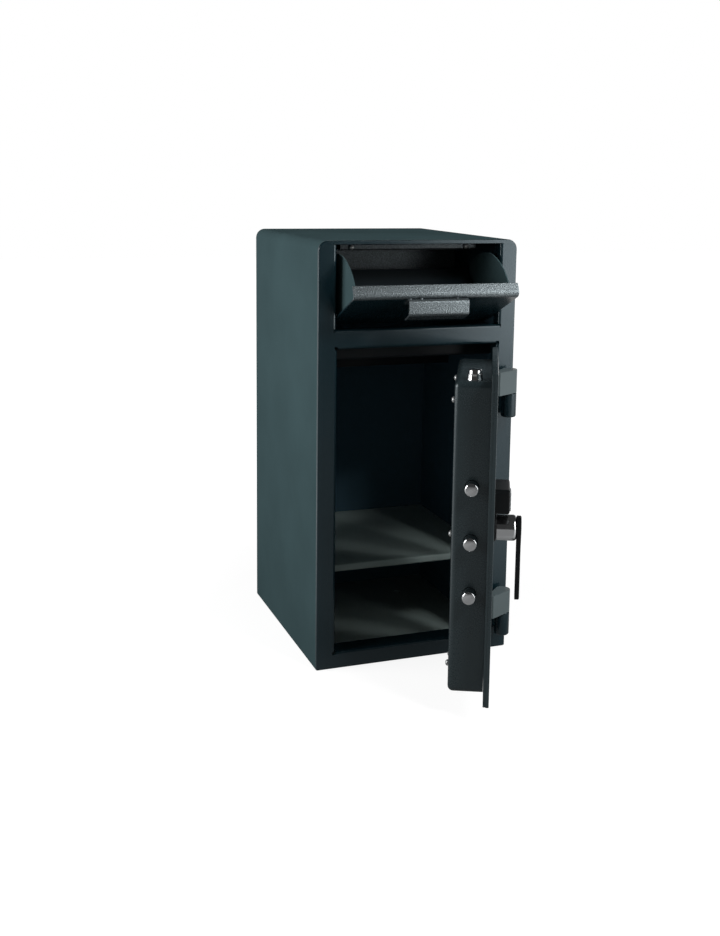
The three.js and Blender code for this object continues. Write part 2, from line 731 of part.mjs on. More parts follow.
function addPan() {
  const seatY = plateBackY + gap;
  const box = (inset, toY) => {
    const outline = roundedRect(panLockX + inset, panBottom + inset, panHingeX - inset, panTop - inset,
      panCorner - inset);
    return crowned(outline, seatY - (inset > 0 ? overrun : 0), toY, panEdgeRound - inset);
  };
  const shell = cut(box(0, panInnerY), box(panSheet, panInnerY - panSheet));
  const boltHoles = [-1, 0, 1].map((step) => rod('x', boltY, boltMiddleZ + step * boltPitch,
    boltRadius + boltFit, panLockX - overrun, panLockX + panSheet + overrun));
  const topHole = rod('z', topBoltX, boltY, topBoltRadius + boltFit, panTop - panSheet - overrun,
    panTop + overrun);
  const lowScrew = panBottom + panScrewFoot;
  const highScrew = panTop - panScrewHead;
  const sideMiddle = (lowScrew + highScrew) / 2;
  const panMiddleX = (panLockX + panHingeX) / 2;
  const screwPlaces = [
    [panLockX + panScrewInset, lowScrew],
    [panLockX + panScrewInset, sideMiddle],
    [panLockX + panScrewInset, highScrew],
    [panMiddleX, panTop - panScrewInset],
    [panMiddleX, panBottom + panScrewInset],
    [panHingeX - panScrewInset, sideMiddle],
  ];
  const screwHoles = screwPlaces.map(([x, z]) => rod('y', x, z, screwShank + screwFit,
    panInnerY - panSheet - overrun, panInnerY + overrun, smallFacets));
  place(doorParts, 'boltwork_pan', cut(shell, ...boltHoles, topHole, ...screwHoles), doorPaint);
  screwPlaces.forEach(([x, z], index) => {
    const profile = screwProfile(panSheet + screwCrown + gap);
    const screw = toSolid(turned(profile, screwFacets).translate(x, panInnerY + gap, z));
    place(doorParts, `pan_screw_${index + 1}`, screw, zinc);
  });
  const cone = [[0, 0], [collarFoot, 0], [collarHead, collarHigh], [0, collarHigh]];
  const bore = rod('z', topBoltX, boltY, topBoltRadius + boltFit, panTop - overrun,
    panTop + collarHigh + overrun);
  const collar = cut(turnedUpright(cone, topBoltX, boltY, panTop + gap), bore);
  place(doorParts, 'top_bolt_collar', collar, chrome);
}

// Boltwork: one bar carries the side bolts, and a lift link carries the top bolt

function addCarrier() {
  const halfBar = boltPitch + barReach;
  const bar = block(barX, barX + barThick, boltY - barWide / 2, boltY + barWide / 2,
    boltMiddleZ - halfBar, boltMiddleZ + halfBar);
  const holes = [-1, 0, 1].map((step) => rod('x', boltY, boltMiddleZ + step * boltPitch, boltShank + gap,
    barX - overrun, barX + barThick + overrun));
  const pinX = handleX + boltTravel / 2;
  const lowPin = handleZ + camThrow * Math.cos(camSwing / 2);
  const highPin = handleZ + camThrow;
  const rim = camPinRadius + slotFit + slotRim;
  const yokeTo = yokeFrontY + linkThick;
  const arm = block(barX, pinX + rim, yokeFrontY, yokeTo, lowPin - rim, highPin + rim);
  const post = block(barX, barX + barThick, yokeFrontY, boltY, lowPin - rim, highPin + rim);
  const yokeSlot = sweep(slot(pinX, lowPin, pinX, highPin, camPinRadius + slotFit), 'y',
    yokeFrontY - overrun, yokeTo + overrun, smallFacets / 2);
  place(doorParts, 'carrier_bar', cut(union(bar, arm, post), ...holes, yokeSlot), zinc);
  [-1, 0, 1].forEach((step, index) => {
    const long = barX - gap - boltTipX;
    const profile = [
      [0, long],
      [boltRadius - boltRound, long],
      [boltRadius, long - boltRound],
      [boltRadius, 0],
      [boltShank, 0],
      [boltShank, -barThick - 2 * gap],
      [boltTail, -barThick - 2 * gap],
      [boltTail, -barThick - 2 * gap - boltTailHigh],
      [0, -barThick - 2 * gap - boltTailHigh],
    ].reverse();
    const bolt = turnedSideways(profile, barX - gap, boltY, boltMiddleZ + step * boltPitch, -1);
    place(doorParts, `side_bolt_${index + 1}`, bolt, chrome);
  });
}

function addLift() {
  const lowPin = handleZ - boltTravel / 2;
  const nearPin = handleX + camThrow * Math.cos(camSwing / 2);
  const farPin = handleX + camThrow;
  const rim = camPinRadius + slotFit + slotRim;
  const seat = topBoltTip - topBoltLong;
  const ledge = seat - liftWide;
  const stemX = (nearPin + farPin) / 2;
  const liftTo = liftFrontY + linkThick;
  const boltFootY = boltY + topBoltRadius;
  const foot = sweep(slot(nearPin, lowPin, farPin, lowPin, rim), 'y', liftFrontY, liftTo, smallFacets / 2);
  const stem = block(stemX - liftWide / 2, stemX + liftWide / 2, liftFrontY, liftTo, lowPin, seat);
  const arm = block(topBoltX - liftWide / 2, stemX + liftWide / 2, liftFrontY, liftTo, ledge, seat);
  const shoe = block(topBoltX - liftWide / 2, topBoltX + liftWide / 2, liftFrontY, boltFootY, ledge, seat);
  const slotCut = sweep(slot(nearPin, lowPin, farPin, lowPin, camPinRadius + slotFit), 'y',
    liftFrontY - overrun, liftTo + overrun, smallFacets / 2);
  const shankHole = rod('z', topBoltX, boltY, boltShank + gap, ledge - overrun, seat + overrun);
  place(doorParts, 'lift_link', cut(union(foot, stem, arm, shoe), slotCut, shankHole), zinc);
  const long = topBoltLong - gap;
  const profile = [
    [0, -liftWide - 2 * gap - boltTailHigh],
    [boltTail, -liftWide - 2 * gap - boltTailHigh],
    [boltTail, -liftWide - 2 * gap],
    [boltShank, -liftWide - 2 * gap],
    [boltShank, 0],
    [topBoltRadius, 0],
    [topBoltRadius, long - boltRound],
    [topBoltRadius - boltRound, long],
    [0, long],
  ];
  place(doorParts, 'top_bolt', turnedUpright(profile, topBoltX, boltY, seat + gap), chrome);
}

function addCam() {
  const camTo = camFrontY + camThick;
  const plate = rod('y', handleX, handleZ, camRadius, camFrontY, camTo);
  const pinRoot = camTo - camThick / 2;
  const pinArm = camThrow * Math.cos(camSwing / 2);
  const yokePin = rod('y', handleX + boltTravel / 2, handleZ + pinArm, camPinRadius, pinRoot,
    yokeFrontY + linkThick, smallFacets);
  const liftPin = rod('y', handleX + pinArm, handleZ - boltTravel / 2, camPinRadius, pinRoot,
    liftFrontY + linkThick, smallFacets);
  const bore = rod('y', handleX, handleZ, spindleRadius + gap, camFrontY - overrun, camTo + overrun,
    smallFacets);
  place(doorParts, 'cam_plate', cut(union(plate, yokePin, liftPin), bore), zinc);
}

function addLock() {
  const plungerX = (barX + barX - boltTravel + barThick) / 2;
  const plungerTop = boltMiddleZ - boltPitch - barReach - plungerGap;
  const caseTop = plungerTop - plungerShow;
  const seatY = plateBackY + gap;
  const casing = block(plungerX - lockWide / 2, plungerX + lockWide / 2, seatY, seatY + lockDeep,
    caseTop - lockHigh, caseTop);
  const bore = rod('z', plungerX, boltY, plungerRadius + plungerFit, plungerTop - plungerLong - gap,
    caseTop + overrun, smallFacets);
  place(doorParts, 'lock_casing', cut(casing, bore), zinc);
  const plungerFoot = plungerTop - plungerLong;
  const plunger = rod('z', plungerX, boltY, plungerRadius, plungerFoot, plungerTop, smallFacets);
  place(doorParts, 'lock_plunger', plunger, chrome);
}

// Handle

function addHandle() {
  const roseBack = frontY - gap;
  const roseFace = roseBack - roseThick;
  const bore = rod('y', handleX, handleZ, spindleRadius + spindleFit, roseFace - overrun,
    roseBack + overrun, smallFacets);
  const rose = rod('y', handleX, handleZ, roseRadius, roseFace, roseBack);
  place(doorParts, 'handle_rose', cut(rose, bore), blackPlastic);

  const hubBack = roseFace - gap;
  const hubFace = frontY - hubReach;
  const hubLong = hubBack - hubFace;
  const spindleEnd = camFrontY + camThick + linkGap - hubBack;
  const edge = Array.from({ length: hubSteps + 1 }, (_, step) => {
    const angle = (step / hubSteps) * (Math.PI / 2);
    return [hubRadius - hubEdge * (1 - Math.cos(angle)), hubLong - hubEdge * (1 - Math.sin(angle))];
  });
  const profile = [
    [0, -spindleEnd],
    [spindleRadius, -spindleEnd],
    [spindleRadius, 0],
    [hubRadius, 0],
    ...edge,
    [0, hubLong],
  ];
  place(doorParts, 'handle_hub', turnedOutward(profile, handleX, hubBack, handleZ), chrome);

  const tipZ = handleZ - leverReach;
  const shape = new THREE.Shape();
  shape.absarc(handleX, handleZ, leverHead, -leverShoulder, Math.PI + leverShoulder, false);
  shape.lineTo(handleX - leverNeck, handleZ - leverWaistShare * leverHead);
  shape.absarc(handleX, tipZ, leverTip, Math.PI, 2 * Math.PI, false);
  shape.lineTo(handleX + leverNeck, handleZ - leverWaistShare * leverHead);
  const leverBack = hubFace - gap;
  const lever = crowned(shape, leverBack, leverBack - leverThick, leverEdge, smallFacets / 2);
  place(doorParts, 'handle_lever', lever, blackPlastic);
}

// Keypad: keys in their pockets, and a battery cover with finger grips

function addKeypad() {
  const backFace = frontY - gap;
  const faceY = backFace - keypadDeep;
  const middleZ = keypadBottom + keypadHigh / 2;
  const outline = roundedRect(keypadX - keypadWidth / 2, keypadBottom, keypadX + keypadWidth / 2,
    keypadBottom + keypadHigh, keypadCorner);
  const keys = [];
  for (let row = 0; row < keyRows; row += 1) {
    for (let column = 0; column < keyColumns; column += 1) {
      const x = keypadX - keypadWidth / 2 + keyMargin + keyWide / 2 + column * keyPitchX;
      const z = middleZ + ((keyRows - 1) / 2 - row) * keyPitchZ;
      keys.push([x, z]);
    }
  }
  const keyShape = (x, z, grow) => roundedRect(x - keyWide / 2 - grow, z - keyHigh / 2 - grow,
    x + keyWide / 2 + grow, z + keyHigh / 2 + grow, keyCorner + grow);
  const keyBack = faceY + keyDeep;
  const pocketBack = keyBack + keyTravel + gap;
  const pockets = keys.map(([x, z]) =>
    sweep(keyShape(x, z, keyFit), 'y', faceY - overrun, pocketBack, keyFacets));
  const coverX = keypadX + (keypadWidth - coverWide) / 2 - coverMargin;
  const coverShape = (grow) => roundedRect(coverX - coverWide / 2 - grow, middleZ - coverHigh / 2 - grow,
    coverX + coverWide / 2 + grow, middleZ + coverHigh / 2 + grow, coverCorner + grow);
  const recess = sweep(coverShape(gap), 'y', faceY - overrun, faceY + coverThick + gap);
  const housing = crowned(outline, backFace, faceY, keypadEdge);
  place(doorParts, 'keypad_housing', cut(housing, ...pockets, recess), blackPlastic);
  const grips = Array.from({ length: gripCount }, (_, index) => {
    const z = middleZ + (index - (gripCount - 1) / 2) * gripPitch;
    return block(coverX - coverWide / 4, coverX + coverWide / 4, faceY - overrun, faceY + gripDeep,
      z - gripWide / 2, z + gripWide / 2);
  });
  const cover = cut(sweep(coverShape(0), 'y', faceY, faceY + coverThick), ...grips);
  place(doorParts, 'battery_cover', cover, blackPlastic);
  keys.forEach(([x, z], index) => {
    const key = sweep(keyShape(x, z, 0), 'y', faceY - keyProud, keyBack, keyFacets);
    place(doorParts, `key_${index + 1}`, key, keyRubber);
  });
}

// Deposit drawer: front, two cheeks, tray and pull

function addDrawer() {
  const frontSection = foldedSheet([
    [drawerFaceY + noseDeep, drawerTop],
    [drawerFaceY, drawerTop],
    [drawerFaceY, drawerBottom],
  ], drawerSheet, noseBend);
  place(drawerParts, 'drawer_front', sweep(frontSection, 'x', -drawerHalf, drawerHalf), hammerPaint);

  const innerY = drawerFaceY + drawerSheet + gap;
  const foreY = innerY - drawerPivotY;
  const pivot = new THREE.Vector2(drawerPivotY, drawerPivotZ);
  const cheekFoot = new THREE.Vector2(drawerPivotY - drawerSheet, drawerBottom);
  const overDivider = new THREE.Vector2(dividerFaceY, dividerTop + cheekAbove);
  const along = overDivider.clone().sub(cheekFoot).normalize();
  const fromPivot = cheekFoot.clone().sub(pivot);
  const nearest = fromPivot.dot(along);
  const reach = Math.sqrt(cheekRadius ** 2 - fromPivot.lengthSq() + nearest ** 2) - nearest;
  const cheekHeel = fromPivot.addScaledVector(along, reach);
  const arcFrom = Math.atan2(cheekHeel.y, cheekHeel.x);
  const arcTo = Math.acos(foreY / cheekRadius);
  for (const [sideName, side] of sides) {
    const shape = new THREE.Shape();
    shape.moveTo(innerY, drawerBottom);
    shape.lineTo(cheekFoot.x, cheekFoot.y);
    shape.absarc(drawerPivotY, drawerPivotZ, cheekRadius, arcFrom, arcTo, false);
    shape.closePath();
    const cheek = sweep(shape, 'x', ...span(side, cheekHalf - cheekSheet, cheekHalf), roundFacets / 2);
    const bore = rod('x', drawerPivotY, drawerPivotZ, pivotPin + runningFit,
      ...span(side, cheekHalf - cheekSheet - overrun, cheekHalf + overrun), smallFacets);
    place(drawerParts, `drawer_cheek_${sideName}`, cut(cheek, bore), bodyPaint);
  }

  const rearY = drawerPivotY + trayRear * Math.cos(trayFall);
  const rearZ = drawerPivotZ - trayRear * Math.sin(trayFall);
  const frontZ = drawerPivotZ - foreY * Math.tan(trayFall);
  const traySection = foldedSheet([
    [rearY - trayHem * Math.sin(trayFall), rearZ - trayHem * Math.cos(trayFall)],
    [rearY, rearZ],
    [innerY, frontZ],
    [innerY, drawerBottom],
  ], drawerSheet, trayBend);
  const trayReach = cheekHalf - cheekSheet - pivotHead - 2 * gap;
  place(drawerParts, 'drawer_tray', sweep(traySection, 'x', -trayReach, trayReach), bodyPaint);

  const pullFace = drawerFaceY - gap;
  const ridgeZ = drawerTop + pullRidge;
  const lipY = pullFace - pullReach * Math.cos(pullDroop);
  const lipZ = ridgeZ - pullReach * Math.sin(pullDroop);
  const pullSection = foldedSheet([
    [pullFace, drawerTop - pullLeg],
    [pullFace, ridgeZ],
    [lipY, lipZ],
    [lipY, lipZ - pullRim],
  ], pullSheet, pullBend);
  place(drawerParts, 'drawer_pull', sweep(pullSection, 'x', -pullHalf, pullHalf), hammerPaint);
}

addBody();
addFrontFrame();
addDivider();
addShelf();
addBaffle();
addDrawerBrackets();
addHinges();
addDoorPlate();
addPan();
addCarrier();
addLift();
addCam();
addLock();
addHandle();
addKeypad();
addDrawer();

export default safe;
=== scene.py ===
import json
import math

import bpy
import bmesh
from mathutils import Matrix, Vector


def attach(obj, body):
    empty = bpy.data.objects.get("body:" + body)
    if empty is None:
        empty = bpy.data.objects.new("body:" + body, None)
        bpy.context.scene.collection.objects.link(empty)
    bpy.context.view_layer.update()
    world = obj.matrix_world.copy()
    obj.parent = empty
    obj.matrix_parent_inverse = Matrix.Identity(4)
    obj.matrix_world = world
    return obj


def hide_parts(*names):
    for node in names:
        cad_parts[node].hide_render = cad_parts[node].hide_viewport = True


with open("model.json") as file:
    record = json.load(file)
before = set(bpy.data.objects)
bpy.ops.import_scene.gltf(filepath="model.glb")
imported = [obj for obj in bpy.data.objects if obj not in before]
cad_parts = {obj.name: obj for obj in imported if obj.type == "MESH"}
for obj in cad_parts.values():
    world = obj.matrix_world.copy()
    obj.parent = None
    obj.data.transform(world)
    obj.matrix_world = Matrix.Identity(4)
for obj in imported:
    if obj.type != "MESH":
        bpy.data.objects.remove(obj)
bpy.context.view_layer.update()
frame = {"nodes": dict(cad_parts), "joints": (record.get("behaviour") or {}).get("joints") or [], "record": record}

nodes = frame["nodes"]
mm = 0.001
bpy.ops.object.select_all(action="DESELECT")
print("frame loaded:", len(nodes), "nodes")


# the door and the drawer are worked on shut, then swung to where they stand

jointPlace = {joint["name"]: Vector(joint.get("pos_m") or (0, 0, 0)) for joint in frame["joints"]}
standing = {"doorOpen": math.radians(64.2), "drawerOpen": math.radians(65.7)}


def aboutPoint(point, angle, axis):
    return Matrix.Translation(point) @ Matrix.Rotation(angle, 4, axis) @ Matrix.Translation(-point)


doorSwing = aboutPoint(jointPlace["door_hinge"], standing["doorOpen"], "Z")
drawerSwing = aboutPoint(jointPlace["drawer_tilt"], standing["drawerOpen"], "X")
noSwing = Matrix.Identity(4)
doorOutward = doorSwing.to_3x3() @ Vector((0, -1, 0))


def shutBox(node, swing):
    # a node's lowest and highest corners with its door or drawer shut
    back = swing.inverted()
    points = [back @ vertex.co for vertex in nodes[node].data.vertices]
    low = Vector([min(point[axis] for point in points) for axis in range(3)])
    high = Vector([max(point[axis] for point in points) for axis in range(3)])
    return low, high


def middleOf(low, high):
    return [(low[axis] + high[axis]) / 2 for axis in range(3)]


# modelling helpers

near = {
    "point": 0.01 * mm,         # apart by less than this is the same place
    "flat": 2,                  # degrees of bend that still count as one face
    "along": 0.99,              # part of a unit vector along an axis, for a line that runs that way
    "square": 0.01,             # and for one that is square to it
}
quarter = math.radians(90)


def makeOnly(piece):
    bpy.ops.object.select_all(action="DESELECT")
    piece.select_set(True)
    bpy.context.view_layer.objects.active = piece


def settle(piece):
    # the place goes into the mesh, and the object to the origin
    makeOnly(piece)
    bpy.ops.object.transform_apply(location=True, rotation=True, scale=True)
    return piece


def pick(piece, kind, test):
    # selects edges or faces in edit mode; test gets the middle, and a face's normal or an edge's way
    makeOnly(piece)
    bpy.ops.object.mode_set(mode="EDIT")
    bpy.ops.mesh.select_mode(type=kind)
    bpy.ops.mesh.select_all(action="DESELECT")
    shape = bmesh.from_edit_mesh(piece.data)
    if kind == "FACE":
        for face in shape.faces:
            if test(face.calc_center_median(), face.normal):
                face.select = True
    else:
        for edge in shape.edges:
            start, end = [vertex.co for vertex in edge.verts]
            if test((start + end) / 2, (end - start).normalized()):
                edge.select = True
    shape.select_flush_mode()
    bmesh.update_edit_mesh(piece.data)


def done():
    bpy.ops.object.mode_set(mode="OBJECT")


def smoothed(piece, upTo=30):
    makeOnly(piece)
    bpy.ops.object.shade_smooth_by_angle(angle=math.radians(upTo))
    return piece


def evened(piece, upTo):
    # smooth shading that keeps the large flat faces flat beside their bevels
    smoothed(piece, upTo)
    flat = piece.modifiers.new("flat", "WEIGHTED_NORMAL")
    flat.keep_sharp = True
    bpy.ops.object.modifier_apply(modifier="flat")
    return piece


def soften(piece, width, bendsOver=30, upTo=40):
    makeOnly(piece)
    bevel = piece.modifiers.new("edges", "BEVEL")
    bevel.width = width
    bevel.segments = 2
    bevel.limit_method = "ANGLE"
    bevel.angle_limit = math.radians(bendsOver)
    bpy.ops.object.modifier_apply(modifier="edges")
    return evened(piece, upTo)


def block(name, low, high):
    low, high = Vector(low), Vector(high)
    bpy.ops.mesh.primitive_cube_add(size=1, location=(low + high) / 2, scale=high - low)
    piece = bpy.context.active_object
    piece.name = name
    return settle(piece)


def roundBar(name, start, end, radius, sides=48):
    start, end = Vector(start), Vector(end)
    way = end - start
    bpy.ops.mesh.primitive_cylinder_add(vertices=sides, radius=radius, depth=way.length)
    piece = bpy.context.active_object
    piece.name = name
    return placed(piece, (start + end) / 2, way.to_track_quat("Z", "Y").to_euler())


def joined(name, pieces):
    bpy.ops.object.select_all(action="DESELECT")
    for piece in pieces:
        piece.select_set(True)
    bpy.context.view_layer.objects.active = pieces[0]
    bpy.ops.object.join()
    pieces[0].name = name
    return pieces[0]


def drilled(piece, cutters):
    for cutter in cutters:
        makeOnly(piece)
        hole = piece.modifiers.new("hole", "BOOLEAN")
        hole.operation = "DIFFERENCE"
        hole.solver = "EXACT"
        hole.object = cutter
        bpy.ops.object.modifier_apply(modifier="hole")
        bpy.data.objects.remove(cutter)
    return piece


def refined(name, node, width):
    # a copy of a node, its triangles merged into clean faces and its edges softened
    makeOnly(nodes[node])
    bpy.ops.object.duplicate()
    piece = bpy.context.active_object
    piece.name = name
    piece.parent = None
    for key in list(piece.keys()):
        del piece[key]
    piece.data.materials.clear()
    bpy.ops.object.mode_set(mode="EDIT")
    bpy.ops.mesh.select_all(action="SELECT")
    bpy.ops.mesh.remove_doubles(threshold=near["point"])
    bpy.ops.mesh.dissolve_limited(angle_limit=math.radians(near["flat"]))
    done()
    if piece.data.has_custom_normals:
        bpy.ops.mesh.customdata_custom_splitnormals_clear()
    return soften(piece, width, bendsOver=25, upTo=38)


def placed(piece, place, turn=(0, 0, 0)):
    piece.rotation_euler = turn
    piece.location = place
    return settle(piece)


def inMetres(profile):
    return [(radius * mm, height * mm) for radius, height in profile]


def lathed(name, profile, place, turn=(0, 0, 0), sides=64):
    # a turned piece: a disc of the first radius, extruded and scaled to each (radius, height) in turn
    radius, height = profile[0]
    bpy.ops.mesh.primitive_circle_add(vertices=sides, radius=radius, fill_type="NGON",
                                      location=(0, 0, height))
    piece = bpy.context.active_object
    piece.name = name
    settle(piece)
    bpy.ops.object.mode_set(mode="EDIT")
    bpy.ops.mesh.select_all(action="SELECT")
    for nextRadius, nextHeight in profile[1:]:
        bpy.ops.mesh.extrude_region_move(TRANSFORM_OT_translate={"value": (0, 0, nextHeight - height)})
        share = nextRadius / radius
        bpy.ops.transform.resize(value=(share, share, 1), center_override=(0, 0, nextHeight))
        radius, height = nextRadius, nextHeight
    bpy.ops.mesh.select_all(action="SELECT")
    bpy.ops.mesh.normals_make_consistent(inside=False)
    done()
    return placed(piece, place, turn)


def folded(name, corners, half, wall, bend, steps):
    # sheet metal folded about lines along X; corners are (y, z) on its outer face
    reach = wall / 4
    points = [Vector((0, *corner)) for corner in corners]
    way = points[1] - points[0]
    bpy.ops.mesh.primitive_plane_add(size=1)
    piece = bpy.context.active_object
    piece.name = name
    piece.scale = (2 * half, way.length, 1)
    placed(piece, (points[0] + points[1]) / 2, (math.atan2(way.z, way.y), 0, 0))
    pick(piece, "EDGE", lambda middle, edge: (middle - points[1]).length < reach)
    for here, there in zip(points[1:], points[2:]):
        bpy.ops.mesh.extrude_region_move(TRANSFORM_OT_translate={"value": there - here})
    done()
    for before, corner, after in zip(points, points[1:], points[2:]):
        turn = (corner - before).angle(after - corner)
        pick(piece, "EDGE", lambda middle, edge: (middle - corner).length < reach)
        bpy.ops.mesh.bevel(offset=(bend + wall) * math.tan(turn / 2), segments=steps, affect="EDGES")
        done()
    sheet = piece.modifiers.new("wall", "SOLIDIFY")
    sheet.thickness = wall
    sheet.offset = -1
    sheet.use_even_offset = True
    bpy.ops.object.modifier_apply(modifier="wall")
    return piece


def squared(name, low, high, corner, edge, front=-1, steps=6):
    # a block with round corners seen along Y, and a round edge about its front or back face
    piece = block(name, low, high)
    pick(piece, "EDGE", lambda middle, way: abs(way.y) > near["along"])
    bpy.ops.mesh.bevel(offset=corner, segments=steps, affect="EDGES")
    done()
    faceY = low[1] if front < 0 else high[1]
    pick(piece, "EDGE", lambda middle, way:
         abs(middle.y - faceY) < near["point"] and abs(way.y) < near["square"])
    bpy.ops.mesh.bevel(offset=edge, segments=max(2, steps - 2), affect="EDGES")
    done()
    return piece


def copied(model, name, place, turn=(0, 0, 0)):
    makeOnly(model)
    bpy.ops.object.duplicate()
    piece = bpy.context.active_object
    piece.name = name
    return placed(piece, place, turn)


def fit(piece, finish, body, *standsFor, swing=noSwing):
    piece.data.transform(swing)
    piece.data.materials.clear()
    piece.data.materials.append(finish.material)
    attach(piece, body)
    if standsFor:
        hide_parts(*standsFor)


# finishes

class Wire:
    # an output socket of a node tree, with arithmetic

    def __init__(self, wiring, socket):
        self.wiring = wiring
        self.socket = socket

    def math(self, operation, first, second):
        return self.wiring.node("ShaderNodeMath", {"operation": operation}, {0: first, 1: second})

    def __add__(self, other):
        return self.math("ADD", self, other)

    def __rsub__(self, other):
        return self.math("SUBTRACT", other, self)

    def __mul__(self, other):
        return self.math("MULTIPLY", self, other)

    def __abs__(self):
        return self.math("ABSOLUTE", self, 0)


class Wiring:
    # a node tree; node adds any kind to it, and blend and between the two that are used most

    def __init__(self, tree):
        self.tree = tree

    def node(self, kind, settings, values, out=0):
        made = self.tree.nodes.new(kind)
        for key, value in settings.items():
            setattr(made, key, value)
        for key, value in values.items():
            if isinstance(value, Wire):
                self.tree.links.new(value.socket, made.inputs[key])
            else:
                made.inputs[key].default_value = value
        return Wire(self, made.outputs[out])

    def blend(self, factor, first, second):
        return self.node("ShaderNodeMix", {"data_type": "RGBA"}, {"Factor": factor, 6: first, 7: second}, 2)

    def between(self, value, low, high, toLow=0.0, toHigh=1.0):
        return self.node("ShaderNodeMapRange", {}, {"Value": value, 1: low, 2: high, 3: toLow, 4: toHigh})


class Finish(Wiring):
    def __init__(self, name, slot, **sockets):
        self.slot = slot
        self.material = bpy.data.materials.new(name)
        self.material.use_nodes = True
        super().__init__(self.material.node_tree)
        self.shader = self.tree.nodes["Principled BSDF"]
        self.place = self.node("ShaderNodeTexCoord", {}, {}, "Object")
        for key, value in sockets.items():
            self.set(key, value)

    def set(self, key, value):
        socket = self.shader.inputs[key.replace("_", " ")]
        if isinstance(value, Wire):
            self.tree.links.new(value.socket, socket)
        else:
            socket.default_value = value

    def axis(self, name):
        return self.node("ShaderNodeSeparateXYZ", {}, {"Vector": self.place}, name)

    def noise(self, scale, detail, roughness):
        values = {"Vector": self.place, "Scale": scale, "Detail": detail, "Roughness": roughness}
        return self.node("ShaderNodeTexNoise", {}, values, "Fac")

    def cells(self, scale):
        values = {"Vector": self.place, "Scale": scale, "Smoothness": 0.6}
        return self.node("ShaderNodeTexVoronoi", {"feature": "SMOOTH_F1"}, values, "Distance")

    def bump(self, height, strength, distance):
        values = {"Height": height, "Strength": strength, "Distance": distance}
        self.set("Normal", self.node("ShaderNodeBump", {}, values))

    def along(self, way):
        # how far a point lies along a direction
        values = {0: self.place, 1: way}
        return self.node("ShaderNodeVectorMath", {"operation": "DOT_PRODUCT"}, values, "Value")


def shade(hexColour, factor=1.0):
    # an sRGB colour as the linear one that a shader takes
    parts = [int(hexColour[index:index + 2], 16) / 255 for index in (0, 2, 4)]
    linear = [part / 12.92 if part <= 0.04045 else ((part + 0.055) / 1.055) ** 2.4 for part in parts]
    return (*[min(1.0, part * factor) for part in linear], 1.0)


drawerFold = {
    "wall": 2.5 * mm, "edge": 0.4 * mm,
    "noseBend": 6 * mm, "noseSteps": 10,
    "pullBend": 4 * mm, "pullSteps": 8,
    "hammerToShadedFace": 0.8 * mm,           # over which the nose's hammered paint gives way to the plain face, painted in the darker front colour as shade
}
coats = {
    # the body's inside colour is a lighter, bluer copy of the outer one: painted light inside the safe
    "body": {"colour": "3d4f52", "inside": "46606e", "roughness": 0.65, "gloss": 0.0, "tint": "ffffff"},
    # the front colour is the body's powder coat made darker: painted shade, taken by the front frame, hinge
    # barrels and drawer face
    "front": {"colour": "0e2127", "roughness": 0.22, "gloss": 0.75, "tint": "dcebf2"},
    "door": {"colour": "242e31", "roughness": 0.27, "gloss": 0.75, "tint": "e2eef2"},
    # the inner colour is the body's paint made near black: painted shade on the divider, rails, hanger and tray
    "inner": {"colour": "12191d", "roughness": 0.55, "gloss": 0.3, "tint": "ffffff"},
    # the shelf colour is the body's paint made lighter: painted light on the shelf and the base panel
    "shelf": {"colour": "8c9b98", "roughness": 0.5, "gloss": 0.3, "tint": "ffffff"},
    "knuckle": {"colour": "525d5f", "roughness": 0.34, "gloss": 0.6, "tint": "e2eef2"},
    "hammer": {"light": "7c8487", "dark": "464d50", "metal": (0.5, 0.85), "roughness": 0.29,
               "gloss": 0.5, "tint": "dcebf2"},
    "baffle": {"light": "474c4e", "dark": "1c1f20", "metal": (0.2, 0.4), "roughness": 0.36,
               "gloss": 0.5, "tint": "dcebf2"},
    "chrome": {"light": "dcdedf", "dark": "cdd0d2", "metal": 1.0, "roughness": 0.12,
               "film": 60, "relief": 0.05},
    "zinc": {"light": "b4b6b5", "dark": "8e9092", "metal": 0.75, "roughness": 0.34,
             "film": 220, "relief": 0.15},
    "plastic": {"light": "111416", "dark": "0a0c0e", "gloss": 0.25},
    "keys": {"rubber": "8b9092", "figure": "1b1e20", "gloss": 0.35},
}

# noises are (scale, detail, roughness), and the ramps (from, to)
powder = {
    "peel": (700, 3, 0.55), "drift": (7, 3, 0.5), "peelShare": 0.5,
    "toneRamp": (0.45, 1.05), "tones": (0.88, 1.14),
    "roughRamp": (0.4, 1.1), "smoother": 0.05, "rougher": 0.06,
    "relief": 0.22, "height": 0.12 * mm,
}
hammering = {
    "cells": 620, "grain": (1400, 3, 0.6), "drift": (14, 2, 0.5), "grainShare": 0.3,
    "rimRamp": (0.3, 0.85), "driftRamp": (0.35, 0.65), "tones": (0.92, 1.08),
    "roughRamp": (0.1, 1.2), "smoother": 0.06, "rougher": 0.1,
    "reliefGrain": 0.25, "relief": 0.3, "height": 0.4 * mm,
}
filming = {
    "detail": 4, "roughness": 0.6,
    "ramp": (0.3, 0.7), "smoother": 0.04, "rougher": 0.06,
    "height": 0.08 * mm,
}
graining = {"cells": 1300, "ramp": (0.1, 0.8), "rough": (0.4, 0.52), "relief": 0.3, "height": 0.08 * mm}
rubbering = {
    "grain": (900, 3, 0.6), "tones": (0.93, 1.07), "ramp": (0.3, 0.7), "rough": (0.55, 0.68),
    "relief": 0.1, "height": 0.05 * mm,
}
insideOfWalls = {               # where the body's outer colour gives way to the lighter, bluer inside one, within the sheet: painted light inside the safe
    "x": (0.1645, 0.1648),
    "front": (-0.1866, -0.1862),
    "back": (0.1844, 0.1848),
    "z": (0.6923, 0.6926),
}


